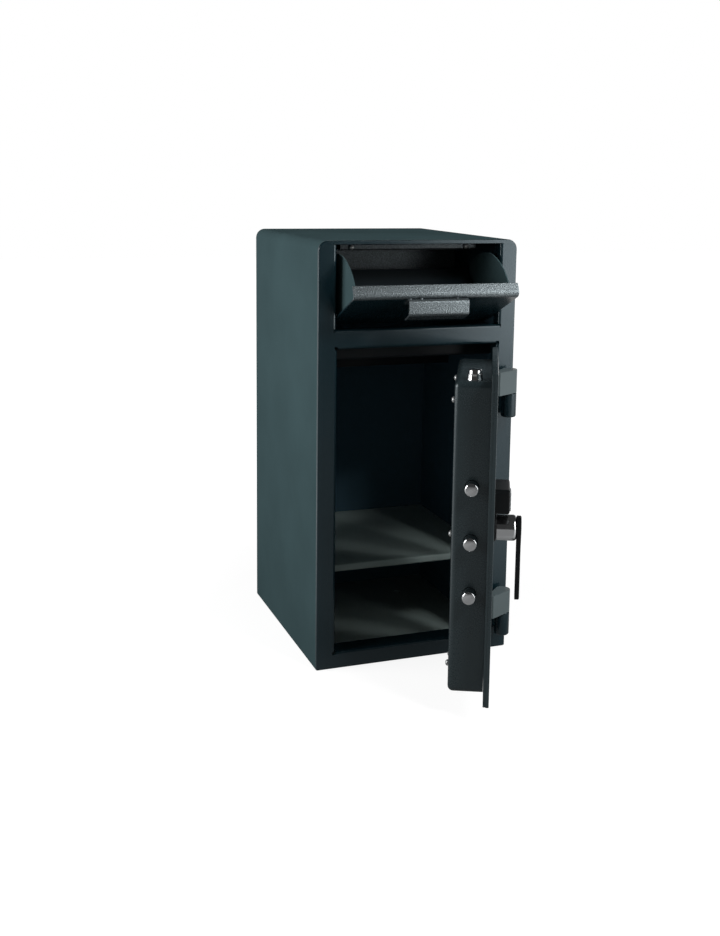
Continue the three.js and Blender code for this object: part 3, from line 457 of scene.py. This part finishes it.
def powderCoat(name, slot, look):
    # fine-textured powder coat, which drifts a little in tone over the sheet
    finish = Finish(name, slot, Specular_IOR_Level=look["gloss"], Specular_Tint=shade(look["tint"]))
    peel = finish.noise(*powder["peel"])
    texture = finish.noise(*powder["drift"]) + peel * powder["peelShare"]
    darker, lighter = powder["tones"]
    tone = finish.between(texture, *powder["toneRamp"])
    colour = finish.blend(tone, shade(look["colour"], darker), shade(look["colour"], lighter))
    smooth, rough = look["roughness"] - powder["smoother"], look["roughness"] + powder["rougher"]
    finish.set("Roughness", finish.between(texture, *powder["roughRamp"], smooth, rough))
    finish.bump(peel, powder["relief"], powder["height"])
    return finish, colour


def bodyPaintWithPaintedInsideLight(name, look):
    # powder coat whose inside faces take a lighter, bluer copy of its colour: painted light inside the safe
    finish, colour = powderCoat(name, "body_powder_coat", look)
    sides = finish.between(abs(finish.axis("X")), *insideOfWalls["x"], 1, 0)
    front = finish.between(finish.axis("Y"), *insideOfWalls["front"])
    back = finish.between(finish.axis("Y"), *insideOfWalls["back"], 1, 0)
    top = finish.between(finish.axis("Z"), *insideOfWalls["z"], 1, 0)
    finish.set("Base Color", finish.blend(sides * front * back * top, colour, shade(look["inside"])))
    return finish


def plainPaint(name, slot, look):
    finish, colour = powderCoat(name, slot, look)
    finish.set("Base Color", colour)
    return finish


def hammerPaint(name, look, plainAndShaded=None, where=None):
    # metallic paint in dimples a few millimetres wide, bright on their rims; where told, plain paint of the given
    # colour, which on the drawer face is painted shade
    finish = Finish(name, "hammered_paint", Specular_IOR_Level=look["gloss"],
                    Specular_Tint=shade(look["tint"]))
    dimples = finish.cells(hammering["cells"])
    grain = finish.noise(*hammering["grain"])
    drift = finish.noise(*hammering["drift"])
    fine = grain * hammering["grainShare"]
    rim = finish.between(dimples + fine, *hammering["rimRamp"])
    tone = finish.between(drift, *hammering["driftRamp"], *hammering["tones"]) * rim
    colour = finish.blend(tone, shade(look["dark"]), shade(look["light"]))
    metal = finish.between(rim, 0, 1, *look["metal"])
    relief = dimples + grain * hammering["reliefGrain"]
    if where:
        hammered = where(finish)
        colour = finish.blend(hammered, shade(plainAndShaded["colour"]), colour)
        metal = metal * hammered
        relief = relief * hammered
    finish.set("Base Color", colour)
    finish.set("Metallic", metal)
    smooth, rough = look["roughness"] - hammering["smoother"], look["roughness"] + hammering["rougher"]
    finish.set("Roughness", finish.between(rim + fine, *hammering["roughRamp"], rough, smooth))
    finish.bump(relief, hammering["relief"], hammering["height"])
    return finish


def noseElseShadedFace(finish):
    # 1 on the drawer's nose, 0 on the plain face below the bend, which takes the darker front colour as painted
    # shade
    low, high = shutBox("drawer_front", drawerSwing)
    bend = drawerSwing @ Vector((0, low.y, high.z - drawerFold["noseBend"]))
    upFace = drawerSwing.to_3x3() @ Vector((0, 0, 1))
    level = bend.dot(upFace)
    return finish.between(finish.along(upFace), level - drawerFold["hammerToShadedFace"], level)


def platedSteel(name, slot, look):
    finish = Finish(name, slot, Metallic=look["metal"])
    film = finish.noise(look["film"], filming["detail"], filming["roughness"])
    smooth, rough = look["roughness"] - filming["smoother"], look["roughness"] + filming["rougher"]
    finish.set("Base Color", finish.blend(film, shade(look["dark"]), shade(look["light"])))
    finish.set("Roughness", finish.between(film, *filming["ramp"], smooth, rough))
    finish.bump(film, look["relief"], filming["height"])
    return finish


def moulding(look):
    finish = Finish("blackMoulding", "black_plastic", Specular_IOR_Level=look["gloss"])
    grain = finish.cells(graining["cells"])
    finish.set("Base Color", finish.blend(grain, shade(look["light"]), shade(look["dark"])))
    finish.set("Roughness", finish.between(grain, *graining["ramp"], *graining["rough"]))
    finish.bump(grain, graining["relief"], graining["height"])
    return finish


keyShape = {
    "corner": 1.2 * mm, "edge": 0.7 * mm,
    "figures": "123456789*0#", "figureSize": 4.2 * mm, "figureHigh": 0.12 * mm, "figureSteps": 3,
    "inkLift": 0.02 * mm,           # the ink starts this far above the key's face
    "smoothTo": 35,
}


def siliconeKeys(look):
    # rubber keys with raised figures, which are darker than the key under them
    finish = Finish("keyRubber", "key_rubber", Specular_IOR_Level=look["gloss"])
    grain = finish.noise(*rubbering["grain"])
    darker, lighter = rubbering["tones"]
    rubber = finish.blend(grain, shade(look["rubber"], darker), shade(look["rubber"], lighter))
    low, high = shutBox("key_1", doorSwing)
    inkFrom = (doorSwing @ Vector((0, low.y, 0))).dot(doorOutward) + keyShape["inkLift"]
    figure = finish.between(finish.along(doorOutward), inkFrom, inkFrom + keyShape["figureHigh"] / 2)
    finish.set("Base Color", finish.blend(figure, rubber, shade(look["figure"])))
    finish.set("Roughness", finish.between(grain, *rubbering["ramp"], *rubbering["rough"]))
    finish.bump(grain, rubbering["relief"], rubbering["height"])
    return finish


# the body coat paints light inside the safe with a lighter, bluer colour
bodyCoat = bodyPaintWithPaintedInsideLight("bodyCoat", coats["body"])
# painted shade: the front frame takes the darker front colour
frontShadedCoat = plainPaint("frontShadedCoat", "body_powder_coat", coats["front"])
# painted light: shelf and base panel take a lighter copy of the body paint
shelfPaintedLightCoat = plainPaint("shelfPaintedLightCoat", "body_powder_coat", coats["shelf"])
knuckleCoat = plainPaint("knuckleCoat", "hammered_paint", coats["knuckle"])
# painted shade: the inner parts take a near-black copy of the body paint
innerShadeCoat = plainPaint("innerShadeCoat", "body_powder_coat", coats["inner"])
doorCoat = plainPaint("doorCoat", "door_powder_coat", coats["door"])
hammerCoat = hammerPaint("hammerCoat", coats["hammer"])
# the drawer's face below the nose is plain and darker: painted shade
drawerCoatShadedFace = hammerPaint("drawerCoatShadedFace", coats["hammer"], coats["front"], noseElseShadedFace)
cheekCoat = plainPaint("cheekCoat", "body_powder_coat", coats["body"])
baffleCoat = hammerPaint("baffleCoat", coats["baffle"])
chromePlate = platedSteel("chromePlate", "chrome", coats["chrome"])
zincPlate = platedSteel("zincPlate", "zinc_plate", coats["zinc"])
blackMoulding = moulding(coats["plastic"])
keyRubber = siliconeKeys(coats["keys"])
print("finishes made")


# every node that keeps its own mesh gets a finish

finishOfSlot = {
    "body_powder_coat": bodyCoat,
    "door_powder_coat": doorCoat,
    "hammered_paint": hammerCoat,
    "chrome": chromePlate,
    "zinc_plate": zincPlate,
    "black_plastic": blackMoulding,
    "key_rubber": keyRubber,
}
slotOfNode = {part["node"]: part["material_slot"] for part in frame["record"]["subparts"]}
for name, node in nodes.items():
    node.data.materials.clear()
    node.data.materials.append(finishOfSlot[slotOfNode[name]].material)


# sheet metal and mouldings that only need softer edges

softEdges = {                   # node: body, bevel width in millimetres, finish
    "body_wrap": ("cabinet", 0.6, bodyCoat), "back_panel": ("cabinet", 1.2, bodyCoat),
    "front_frame": ("cabinet", 0.7, frontShadedCoat), "divider_panel": ("cabinet", 0.4, innerShadeCoat),
    "shelf": ("cabinet", 0.7, shelfPaintedLightCoat), "base_panel": ("cabinet", 0.3, shelfPaintedLightCoat),
    "shelf_rail_left": ("cabinet", 0.3, innerShadeCoat), "shelf_rail_right": ("cabinet", 0.3, innerShadeCoat),
    "baffle_hanger": ("cabinet", 0.3, innerShadeCoat), "drawer_baffle": ("cabinet", 0.3, baffleCoat),
    "drawer_bracket_left": ("cabinet", 0.3, bodyCoat), "drawer_bracket_right": ("cabinet", 0.3, bodyCoat),
    "hinge_knuckle_lower": ("door", 0.9, knuckleCoat), "hinge_knuckle_upper": ("door", 0.9, knuckleCoat),
    "drawer_cheek_left": ("deposit_drawer", 0.6, cheekCoat),
    "drawer_cheek_right": ("deposit_drawer", 0.6, cheekCoat),
    "drawer_tray": ("deposit_drawer", 0.4, innerShadeCoat),
    "keypad_housing": ("door", 0.3, blackMoulding), "battery_cover": ("door", 0.25, blackMoulding),
    "handle_lever": ("handle", 0.4, blackMoulding),
    "lock_casing": ("door", 0.8, zincPlate), "carrier_bar": ("bolt_carriage", 0.5, zincPlate),
    "lift_link": ("bolt_lift", 0.4, zincPlate), "cam_plate": ("handle", 0.5, zincPlate),
}
for node, (body, width, finish) in softEdges.items():
    fit(refined(node + "_form", node, width * mm), finish, body, node)
print("sheet metal softened")


# deposit drawer: front and pull, each folded from one sheet

pullShape = {"droop": math.radians(24.3), "lip": 20 * mm}
weldBeads = {
    "alongPull": (0.02, 0.21, 0.81),        # shares of its width
    "long": 2.6 * mm, "thick": 1.3 * mm, "flatness": 0.8,
    "inset": 1.2 * mm, "drop": 0.3 * mm,
}


def addDrawerFront():
    low, high = shutBox("drawer_front", drawerSwing)
    corners = [(low.y, low.z), (low.y, high.z), (high.y, high.z)]
    piece = folded("drawerFace", corners, high.x, drawerFold["wall"], drawerFold["noseBend"],
                   drawerFold["noseSteps"])
    fit(soften(piece, drawerFold["edge"]), drawerCoatShadedFace, "deposit_drawer", "drawer_front", swing=drawerSwing)


def addPull():
    low, high = shutBox("drawer_pull", drawerSwing)
    vertices = [drawerSwing.inverted() @ vertex.co for vertex in nodes["drawer_pull"].data.vertices]
    rimFoot = min(point.z for point in vertices if point.y < low.y + mm)
    legFoot = min(point.z for point in vertices if point.y > high.y - mm)
    lipZ = rimFoot + pullShape["lip"]
    ridgeZ = lipZ + (high.y - low.y) * math.tan(pullShape["droop"])
    corners = [(low.y, rimFoot), (low.y, lipZ), (high.y, ridgeZ), (high.y, legFoot)]
    sheet = folded("pullSheet", corners, high.x, drawerFold["wall"], drawerFold["pullBend"],
                   drawerFold["pullSteps"])
    pieces = [soften(sheet, drawerFold["edge"])]
    for share in weldBeads["alongPull"]:
        bpy.ops.mesh.primitive_uv_sphere_add(segments=16, ring_count=10, radius=weldBeads["thick"])
        bead = bpy.context.active_object
        bead.scale = (weldBeads["long"] / weldBeads["thick"], 1, weldBeads["flatness"])
        x = low.x + share * (high.x - low.x)
        pieces.append(placed(bead, (x, high.y - weldBeads["inset"], high.z - weldBeads["drop"])))
    fit(joined("pull", pieces), hammerCoat, "deposit_drawer", "drawer_pull", swing=drawerSwing)


addDrawerFront()
addPull()
print("drawer front and pull folded")


# round-headed screws with a hexagon socket, one model copied to each place

screwShape = {
    "profile": [(2.5, -4), (2.5, 0), (4.8, 0), (4.8, 0.5), (4.55, 1.5), (4.0, 2.4), (3.1, 3.2), (2.2, 3.65),
                (1.6, 3.8)],
    "headHigh": 3.8 * mm, "sides": 32,
    "socket": 1.7 * mm, "socketDeep": 2.2 * mm,
    "smoothTo": 40,
}


def screwModel():
    piece = lathed("screwModel", inMetres(screwShape["profile"]), (0, 0, 0), sides=screwShape["sides"])
    top = screwShape["headHigh"]
    bottom = top - screwShape["socketDeep"]
    socket = roundBar("socket", (0, 0, bottom), (0, 0, top + mm), screwShape["socket"], sides=6)
    return smoothed(drilled(piece, [socket]), screwShape["smoothTo"])


def addScrews():
    model = screwModel()
    for side in ("left", "right"):
        node = "baffle_screw_" + side
        low, high = shutBox(node, noSwing)
        x, _, z = middleOf(low, high)
        place = (x, low.y + screwShape["headHigh"], z)
        fit(copied(model, "baffleScrew" + side.title(), place, (quarter, 0, 0)), zincPlate, "cabinet", node)
    for number in range(1, 7):
        node = f"pan_screw_{number}"
        low, high = shutBox(node, doorSwing)
        x, _, z = middleOf(low, high)
        screw = copied(model, f"panScrew{number}", (x, high.y - screwShape["headHigh"], z), (-quarter, 0, 0))
        fit(screw, zincPlate, "door", node, swing=doorSwing)
    bpy.data.objects.remove(model)


addScrews()
print("screws turned")


# chromed bolts, collar and hub

boltShape = {
    "shank": 5 * mm, "tail": 6.5 * mm, "tailHigh": 3 * mm,
    "radius": 10 * mm, "seatInset": 9.6 * mm,
    "topRadius": 9.5 * mm, "topReach": 59.7 * mm,
    "chamfer": 1.5 * mm,
    "footShare": 1 / 3,                                         # chamfer of the foot, in the tip's
    "tip": [(0, 1.1), (0.15, 0.8), (0.85, 0.12), (1.15, 0)],    # chamfers in from the side and down
    "collar": [(12, 0), (12, 0.7), (11.6, 1.5), (11.2, 2.8), (10.95, 4.6), (10.8, 7), (10.8, 8.5), (10.5, 9)],
    "collarBore": 10.1 * mm, "boreHigh": 12 * mm,
}


def boltProfile(radius, tailFrom, tailTo, tip):
    # from the riveted tail over the seat, at height 0, to the tip
    edge = boltShape["chamfer"]
    foot = edge * boltShape["footShare"]
    tail = [(boltShape["tail"], tailFrom), (boltShape["tail"], tailTo), (boltShape["shank"], tailTo)]
    seat = [(boltShape["shank"], 0), (radius - foot, 0), (radius, foot)]
    return tail + seat + [(radius - edge * inset, tip - edge * drop) for inset, drop in boltShape["tip"]]


def addBolts():
    low, high = shutBox("side_bolt_1", doorSwing)
    seat = high.x - boltShape["seatInset"]
    tailFrom = seat - high.x
    profile = boltProfile(boltShape["radius"], tailFrom, tailFrom + boltShape["tailHigh"], seat - low.x)
    model = smoothed(lathed("boltModel", profile, (0, 0, 0)))
    for number in (1, 2, 3):
        node = f"side_bolt_{number}"
        _, y, z = middleOf(*shutBox(node, doorSwing))
        bolt = copied(model, f"sideBolt{number}", (seat, y, z), (0, -quarter, 0))
        fit(bolt, chromePlate, "bolt_carriage", node, swing=doorSwing)
    bpy.data.objects.remove(model)

    low, high = shutBox("top_bolt", doorSwing)
    x, y, _ = middleOf(low, high)
    seat = high.z - boltShape["topReach"]
    tailFrom = low.z - seat
    profile = boltProfile(boltShape["topRadius"], tailFrom, tailFrom + boltShape["tailHigh"], high.z - seat)
    bolt = smoothed(lathed("topBolt", profile, (x, y, seat)))
    fit(bolt, chromePlate, "bolt_lift", "top_bolt", swing=doorSwing)

    low, high = shutBox("top_bolt_collar", doorSwing)
    x, y, _ = middleOf(low, high)
    collar = lathed("boltCollar", inMetres(boltShape["collar"]), (x, y, low.z))
    top = low.z + boltShape["boreHigh"]
    bore = roundBar("bore", (x, y, low.z - mm), (x, y, top), boltShape["collarBore"], sides=64)
    fit(smoothed(drilled(collar, [bore])), chromePlate, "door", "top_bolt_collar", swing=doorSwing)


hubShape = {
    "spindle": 5 * mm, "radius": 20 * mm, "edge": 5 * mm, "edgeSteps": 8, "foot": 0.8 * mm, "sides": 96,
    "rose": 21.5 * mm, "roseEdge": 1 * mm, "roseShoulder": 0.3, "roseGap": 0.3 * mm, "spindleHole": 6.5 * mm,
}


def addHub():
    low, high = shutBox("handle_hub", doorSwing)
    roseLow, roseHigh = shutBox("handle_rose", doorSwing)
    x, _, z = middleOf(low, high)
    back = roseLow.y - hubShape["roseGap"]
    reach = back - low.y
    spindle, radius, edge, foot = [hubShape[key] for key in ("spindle", "radius", "edge", "foot")]
    profile = [(spindle, back - high.y), (spindle, 0), (radius - foot, 0), (radius, foot)]
    for step in range(hubShape["edgeSteps"] + 1):
        turn = quarter * step / hubShape["edgeSteps"]
        profile.append((radius - edge * (1 - math.cos(turn)), reach - edge * (1 - math.sin(turn))))
    hub = lathed("hub", profile, (x, back, z), (quarter, 0, 0), hubShape["sides"])
    fit(smoothed(hub), chromePlate, "handle", "handle_hub", swing=doorSwing)

    thick = roseHigh.y - roseLow.y
    outer, rim = hubShape["rose"], hubShape["roseEdge"]
    shoulder = rim * hubShape["roseShoulder"]
    profile = [(outer, 0), (outer, thick - rim), (outer - shoulder, thick - shoulder), (outer - rim, thick)]
    rose = lathed("rose", profile, (x, roseHigh.y, z), (quarter, 0, 0), hubShape["sides"])
    hole = roundBar("hole", (x, roseLow.y - mm, z), (x, roseHigh.y + mm, z), hubShape["spindleHole"])
    fit(smoothed(drilled(rose, [hole])), blackMoulding, "door", "handle_rose", swing=doorSwing)


addBolts()
addHub()
print("bolts and hub turned")


# hinge barrels with their pins and leaves

barrelShape = {
    "profile": [(9.6, 0), (11.2, 0.5), (12.1, 1.6), (12.5, 3), (12.5, 39.4), (12.1, 40), (6, 40), (6, 71),
                (5.2, 72)],
    "radius": 12.5 * mm, "barrelHigh": 40 * mm, "high": 72 * mm,
    "leafHalf": 9 * mm, "leafHigh": 24 * mm, "leafDrop": 6 * mm, "leafEdge": 0.6 * mm,
}


def addBarrels():
    for level in ("lower", "upper"):
        node = "hinge_barrel_" + level
        low, high = shutBox(node, noSwing)
        x, y = (low.x + high.x) / 2, low.y + barrelShape["radius"]
        foot = high.z - barrelShape["high"]
        barrel = smoothed(lathed("barrel", inMetres(barrelShape["profile"]), (x, y, foot)))
        leafTop = foot + barrelShape["barrelHigh"] - barrelShape["leafDrop"]
        leafFoot = leafTop - barrelShape["leafHigh"]
        half = barrelShape["leafHalf"]
        leaf = block("leaf", (x - half, y, leafFoot), (x + half, high.y, leafTop))
        soften(leaf, barrelShape["leafEdge"])
        # the barrels take the darker front colour, painted shade
        fit(joined("hingeBarrel" + level.title(), [barrel, leaf]), frontShadedCoat, "cabinet", node)


addBarrels()
print("hinges made")


# door plate of two leaves, and the boltwork pan pressed from one sheet

doorShape = {
    "frontLeaf": 5 * mm, "rearInset": 0.5 * mm,
    "corner": 2 * mm, "edge": 1 * mm, "rearEdge": 0.5 * mm,
    "smoothTo": 35,
}
panShape = {
    "sheet": 2 * mm, "corner": 9 * mm, "edge": 8 * mm, "steps": 8,
    "boltHole": 10.6 * mm, "topHole": 10.1 * mm, "screwHole": 2.8 * mm, "screwSides": 24,
    "drillDepth": 3 * mm, "smoothTo": 32,
}


def addPlate():
    low, high = shutBox("door_plate", doorSwing)
    x, _, z = middleOf(*shutBox("handle_hub", doorSwing))
    seam = low.y + doorShape["frontLeaf"]
    inset = doorShape["rearInset"]
    front = squared("frontLeaf", low, (high.x, seam, high.z), doorShape["corner"], doorShape["edge"])
    rear = squared("rearLeaf", (low.x + inset, seam, low.z + inset), (high.x - inset, high.y, high.z - inset),
                   doorShape["corner"], doorShape["rearEdge"], front=1)
    leaves = []
    for leaf in (front, rear):
        hole = roundBar("hole", (x, low.y - mm, z), (x, high.y + mm, z), hubShape["spindleHole"])
        leaves.append(drilled(leaf, [hole]))
    plate = evened(joined("doorPlate", leaves), doorShape["smoothTo"])
    fit(plate, doorCoat, "door", "door_plate", swing=doorSwing)


def addPan():
    low, high = shutBox("boltwork_pan", doorSwing)
    pan = squared("pan", low, high, panShape["corner"], panShape["edge"], front=1, steps=panShape["steps"])
    pick(pan, "FACE", lambda middle, normal: normal.y < -near["along"])
    bpy.ops.mesh.delete(type="FACE")
    done()
    sheet = pan.modifiers.new("sheet", "SOLIDIFY")
    sheet.thickness = panShape["sheet"]
    sheet.offset = -1
    bpy.ops.object.modifier_apply(modifier="sheet")
    depth = panShape["drillDepth"]
    holes = []
    for number in (1, 2, 3):
        _, y, z = middleOf(*shutBox(f"side_bolt_{number}", doorSwing))
        holes.append(roundBar("hole", (low.x - mm, y, z), (low.x + depth, y, z), panShape["boltHole"]))
    x, y, _ = middleOf(*shutBox("top_bolt", doorSwing))
    holes.append(roundBar("hole", (x, y, high.z - depth), (x, y, high.z + mm), panShape["topHole"]))
    for number in range(1, 7):
        x, _, z = middleOf(*shutBox(f"pan_screw_{number}", doorSwing))
        start, end = (x, high.y - depth, z), (x, high.y + mm, z)
        holes.append(roundBar("hole", start, end, panShape["screwHole"], panShape["screwSides"]))
    pan = evened(drilled(pan, holes), panShape["smoothTo"])
    fit(pan, doorCoat, "door", "boltwork_pan", swing=doorSwing)


addPlate()
addPan()
print("door made")


# pillow keys with raised figures

def addKeys():
    for number, figure in enumerate(keyShape["figures"], 1):
        node = f"key_{number}"
        low, high = shutBox(node, doorSwing)
        key = squared("key", low, high, keyShape["corner"], keyShape["edge"], steps=4)
        bpy.ops.object.text_add()
        mark = bpy.context.active_object
        mark.data.body = figure
        mark.data.align_x = "CENTER"
        mark.data.align_y = "CENTER"
        mark.data.size = keyShape["figureSize"]
        mark.data.extrude = keyShape["figureHigh"]
        mark.data.resolution_u = keyShape["figureSteps"]
        makeOnly(mark)
        bpy.ops.object.convert(target="MESH")
        x, _, z = middleOf(low, high)
        placed(mark, (x, low.y, z), (quarter, 0, 0))
        key = evened(joined(f"key{number}", [key, mark]), keyShape["smoothTo"])
        fit(key, keyRubber, f"key_{number}_body", node, swing=doorSwing)


addKeys()
print("keys made")


# floor, lights and camera

# ramps are (from, to) in metres, or in parts of a direction for the world
stage = {
    "floor": "828282", "floorRoughness": 0.95, "floorReach": 9.0,
    "nearGlow": 0.87, "nearRamp": (0.45, 1.2),      # less glow by the safe keeps its shadow
    "glossGlow": 0.95,
    "roomShine": 0.04,                              # the dark side of the studio, as gloss shows it
    "behindRamp": (-0.3, 0.6),
    "rightShine": 1.0, "rightRamp": (-0.25, 0.3), "rightSlant": 0.45, "frontRamp": (-0.7, -0.3),
    "leftShine": 0.12, "leftRamp": (-0.6, -0.2),
    "underX": (0.16, 0.165), "underY": (0.18, 0.185),
    "worldLight": 0.2, "backRamp": (0.1, 0.5), "lowRamp": (0.2, 0.4),
}


def raysOf(wiring):
    # 1 for a camera ray, and 1 for a ray from gloss or through glass
    camera, gloss, clear = [wiring.node("ShaderNodeLightPath", {}, {}, ray)
                            for ray in ("Is Camera Ray", "Is Glossy Ray", "Is Transmission Ray")]
    return camera, gloss + clear


def addFloor():
    bpy.ops.mesh.primitive_plane_add(size=2 * stage["floorReach"], location=(0, 0, 0))
    floor = bpy.context.active_object
    floor.name = "floor"
    paper = Finish("paper", "floor", Base_Color=shade(stage["floor"]), Roughness=stage["floorRoughness"],
                   Specular_IOR_Level=0.0)
    x, y = paper.axis("X"), paper.axis("Y")
    camera, mirror = raysOf(paper)
    white = paper.between(abs(x) + abs(y), *stage["nearRamp"], stage["nearGlow"], 1)
    behind = paper.between(y, *stage["behindRamp"], stage["roomShine"], 1)
    right = paper.between(x + y * stage["rightSlant"], *stage["rightRamp"], 0, stage["rightShine"])
    front = paper.between(y, *stage["frontRamp"], 1, 0)
    left = paper.between(x, *stage["leftRamp"], stage["leftShine"], 0)
    mirrored = mirror * (behind + right * front + left) * stage["glossGlow"]
    underSafe = paper.between(abs(x), *stage["underX"], 1, 0) * paper.between(abs(y), *stage["underY"], 1, 0)
    glow = (camera * white + mirrored) * (1 - underSafe)
    paper.set("Emission Color", paper.blend(glow, (0, 0, 0, 1), (1, 1, 1, 1)))
    paper.set("Emission Strength", 1.0)
    floor.data.materials.append(paper.material)


def addWorld():
    world = bpy.data.worlds.new("studio")
    bpy.context.scene.world = world
    world.use_nodes = True
    studio = Wiring(world.node_tree)
    camera, mirror = raysOf(studio)
    way = studio.node("ShaderNodeTexCoord", {}, {}, "Generated")
    y, z = [studio.node("ShaderNodeSeparateXYZ", {}, {"Vector": way}, axis) for axis in ("Y", "Z")]
    backdrop = studio.between(y, *stage["backRamp"]) * studio.between(z, *stage["lowRamp"], 1, 0)
    backdrop = backdrop * (1 - stage["roomShine"]) + stage["roomShine"]
    strength = camera + mirror * backdrop + (1 - (camera + mirror)) * stage["worldLight"]
    light = world.node_tree.nodes["Background"]
    light.inputs["Color"].default_value = (1, 1, 1, 1)
    world.node_tree.links.new(strength.socket, light.inputs["Strength"])


lamps = {                       # place, aim, size, watts, shown in gloss
    "keySoftbox": ((-1.3, -0.1, 0.78), (-0.1, 0, 0.45), (0.9, 0.9), 15.5, True),
    "rightSoftbox": ((1.55, -2.05, 1.15), (0.1, -0.15, 0.5), (1.2, 2.15), 30, True),
    "noseSoftbox": ((1.62, -1.5, 1.62), (0.1, -0.3, 0.66), (0.45, 0.45), 8, True),
    "topSoftbox": ((0.62, -1.75, 2.0), (0, -0.1, 0.3), (0.4, 0.4), 20, False),
}


def addLamp(name, place, aim, size, watts, inGloss):
    bpy.ops.object.light_add(type="AREA", location=place)
    lamp = bpy.context.active_object
    lamp.name = name
    lamp.data.shape = "RECTANGLE"
    lamp.data.size, lamp.data.size_y = size
    lamp.data.energy = watts
    lamp.visible_glossy = inGloss
    lamp.rotation_euler = (Vector(aim) - Vector(place)).to_track_quat("-Z", "Y").to_euler()


cameraFit = {                   # solved from the corners of the body in the photo
    "place": (-0.7231, -1.9416, 0.8026),
    "right": (0.9374, -0.3480, 0.0140),
    "forward": (0.3455, 0.9244, -0.1617),
    "focalPixels": 1192.3,
    "centrePixels": (378.87, 367.77),
    "photoPixels": (720, 936),
    "sensor": 36,
    "clipStart": 0.01,
}


def addCamera():
    forward = Vector(cameraFit["forward"]).normalized()
    right = Vector(cameraFit["right"])
    right = (right - forward * right.dot(forward)).normalized()
    up = right.cross(forward)
    data = bpy.data.cameras.new("camera")
    camera = bpy.data.objects.new("camera", data)
    bpy.context.scene.collection.objects.link(camera)
    turn = Matrix((right, up, -forward)).transposed().to_4x4()
    camera.matrix_world = Matrix.Translation(cameraFit["place"]) @ turn
    wide, tall = cameraFit["photoPixels"]
    centreX, centreY = cameraFit["centrePixels"]
    data.sensor_width = cameraFit["sensor"]
    data.lens = cameraFit["focalPixels"] / tall * data.sensor_width
    data.shift_x = (wide / 2 - centreX) / tall
    data.shift_y = (centreY - tall / 2) / tall
    data.clip_start = cameraFit["clipStart"]
    bpy.context.scene.camera = camera


addFloor()
addWorld()
for name, lamp in lamps.items():
    addLamp(name, *lamp)
addCamera()
bpy.context.scene.view_settings.view_transform = "Standard"
print("stage set")

bpy.context.view_layer.update()
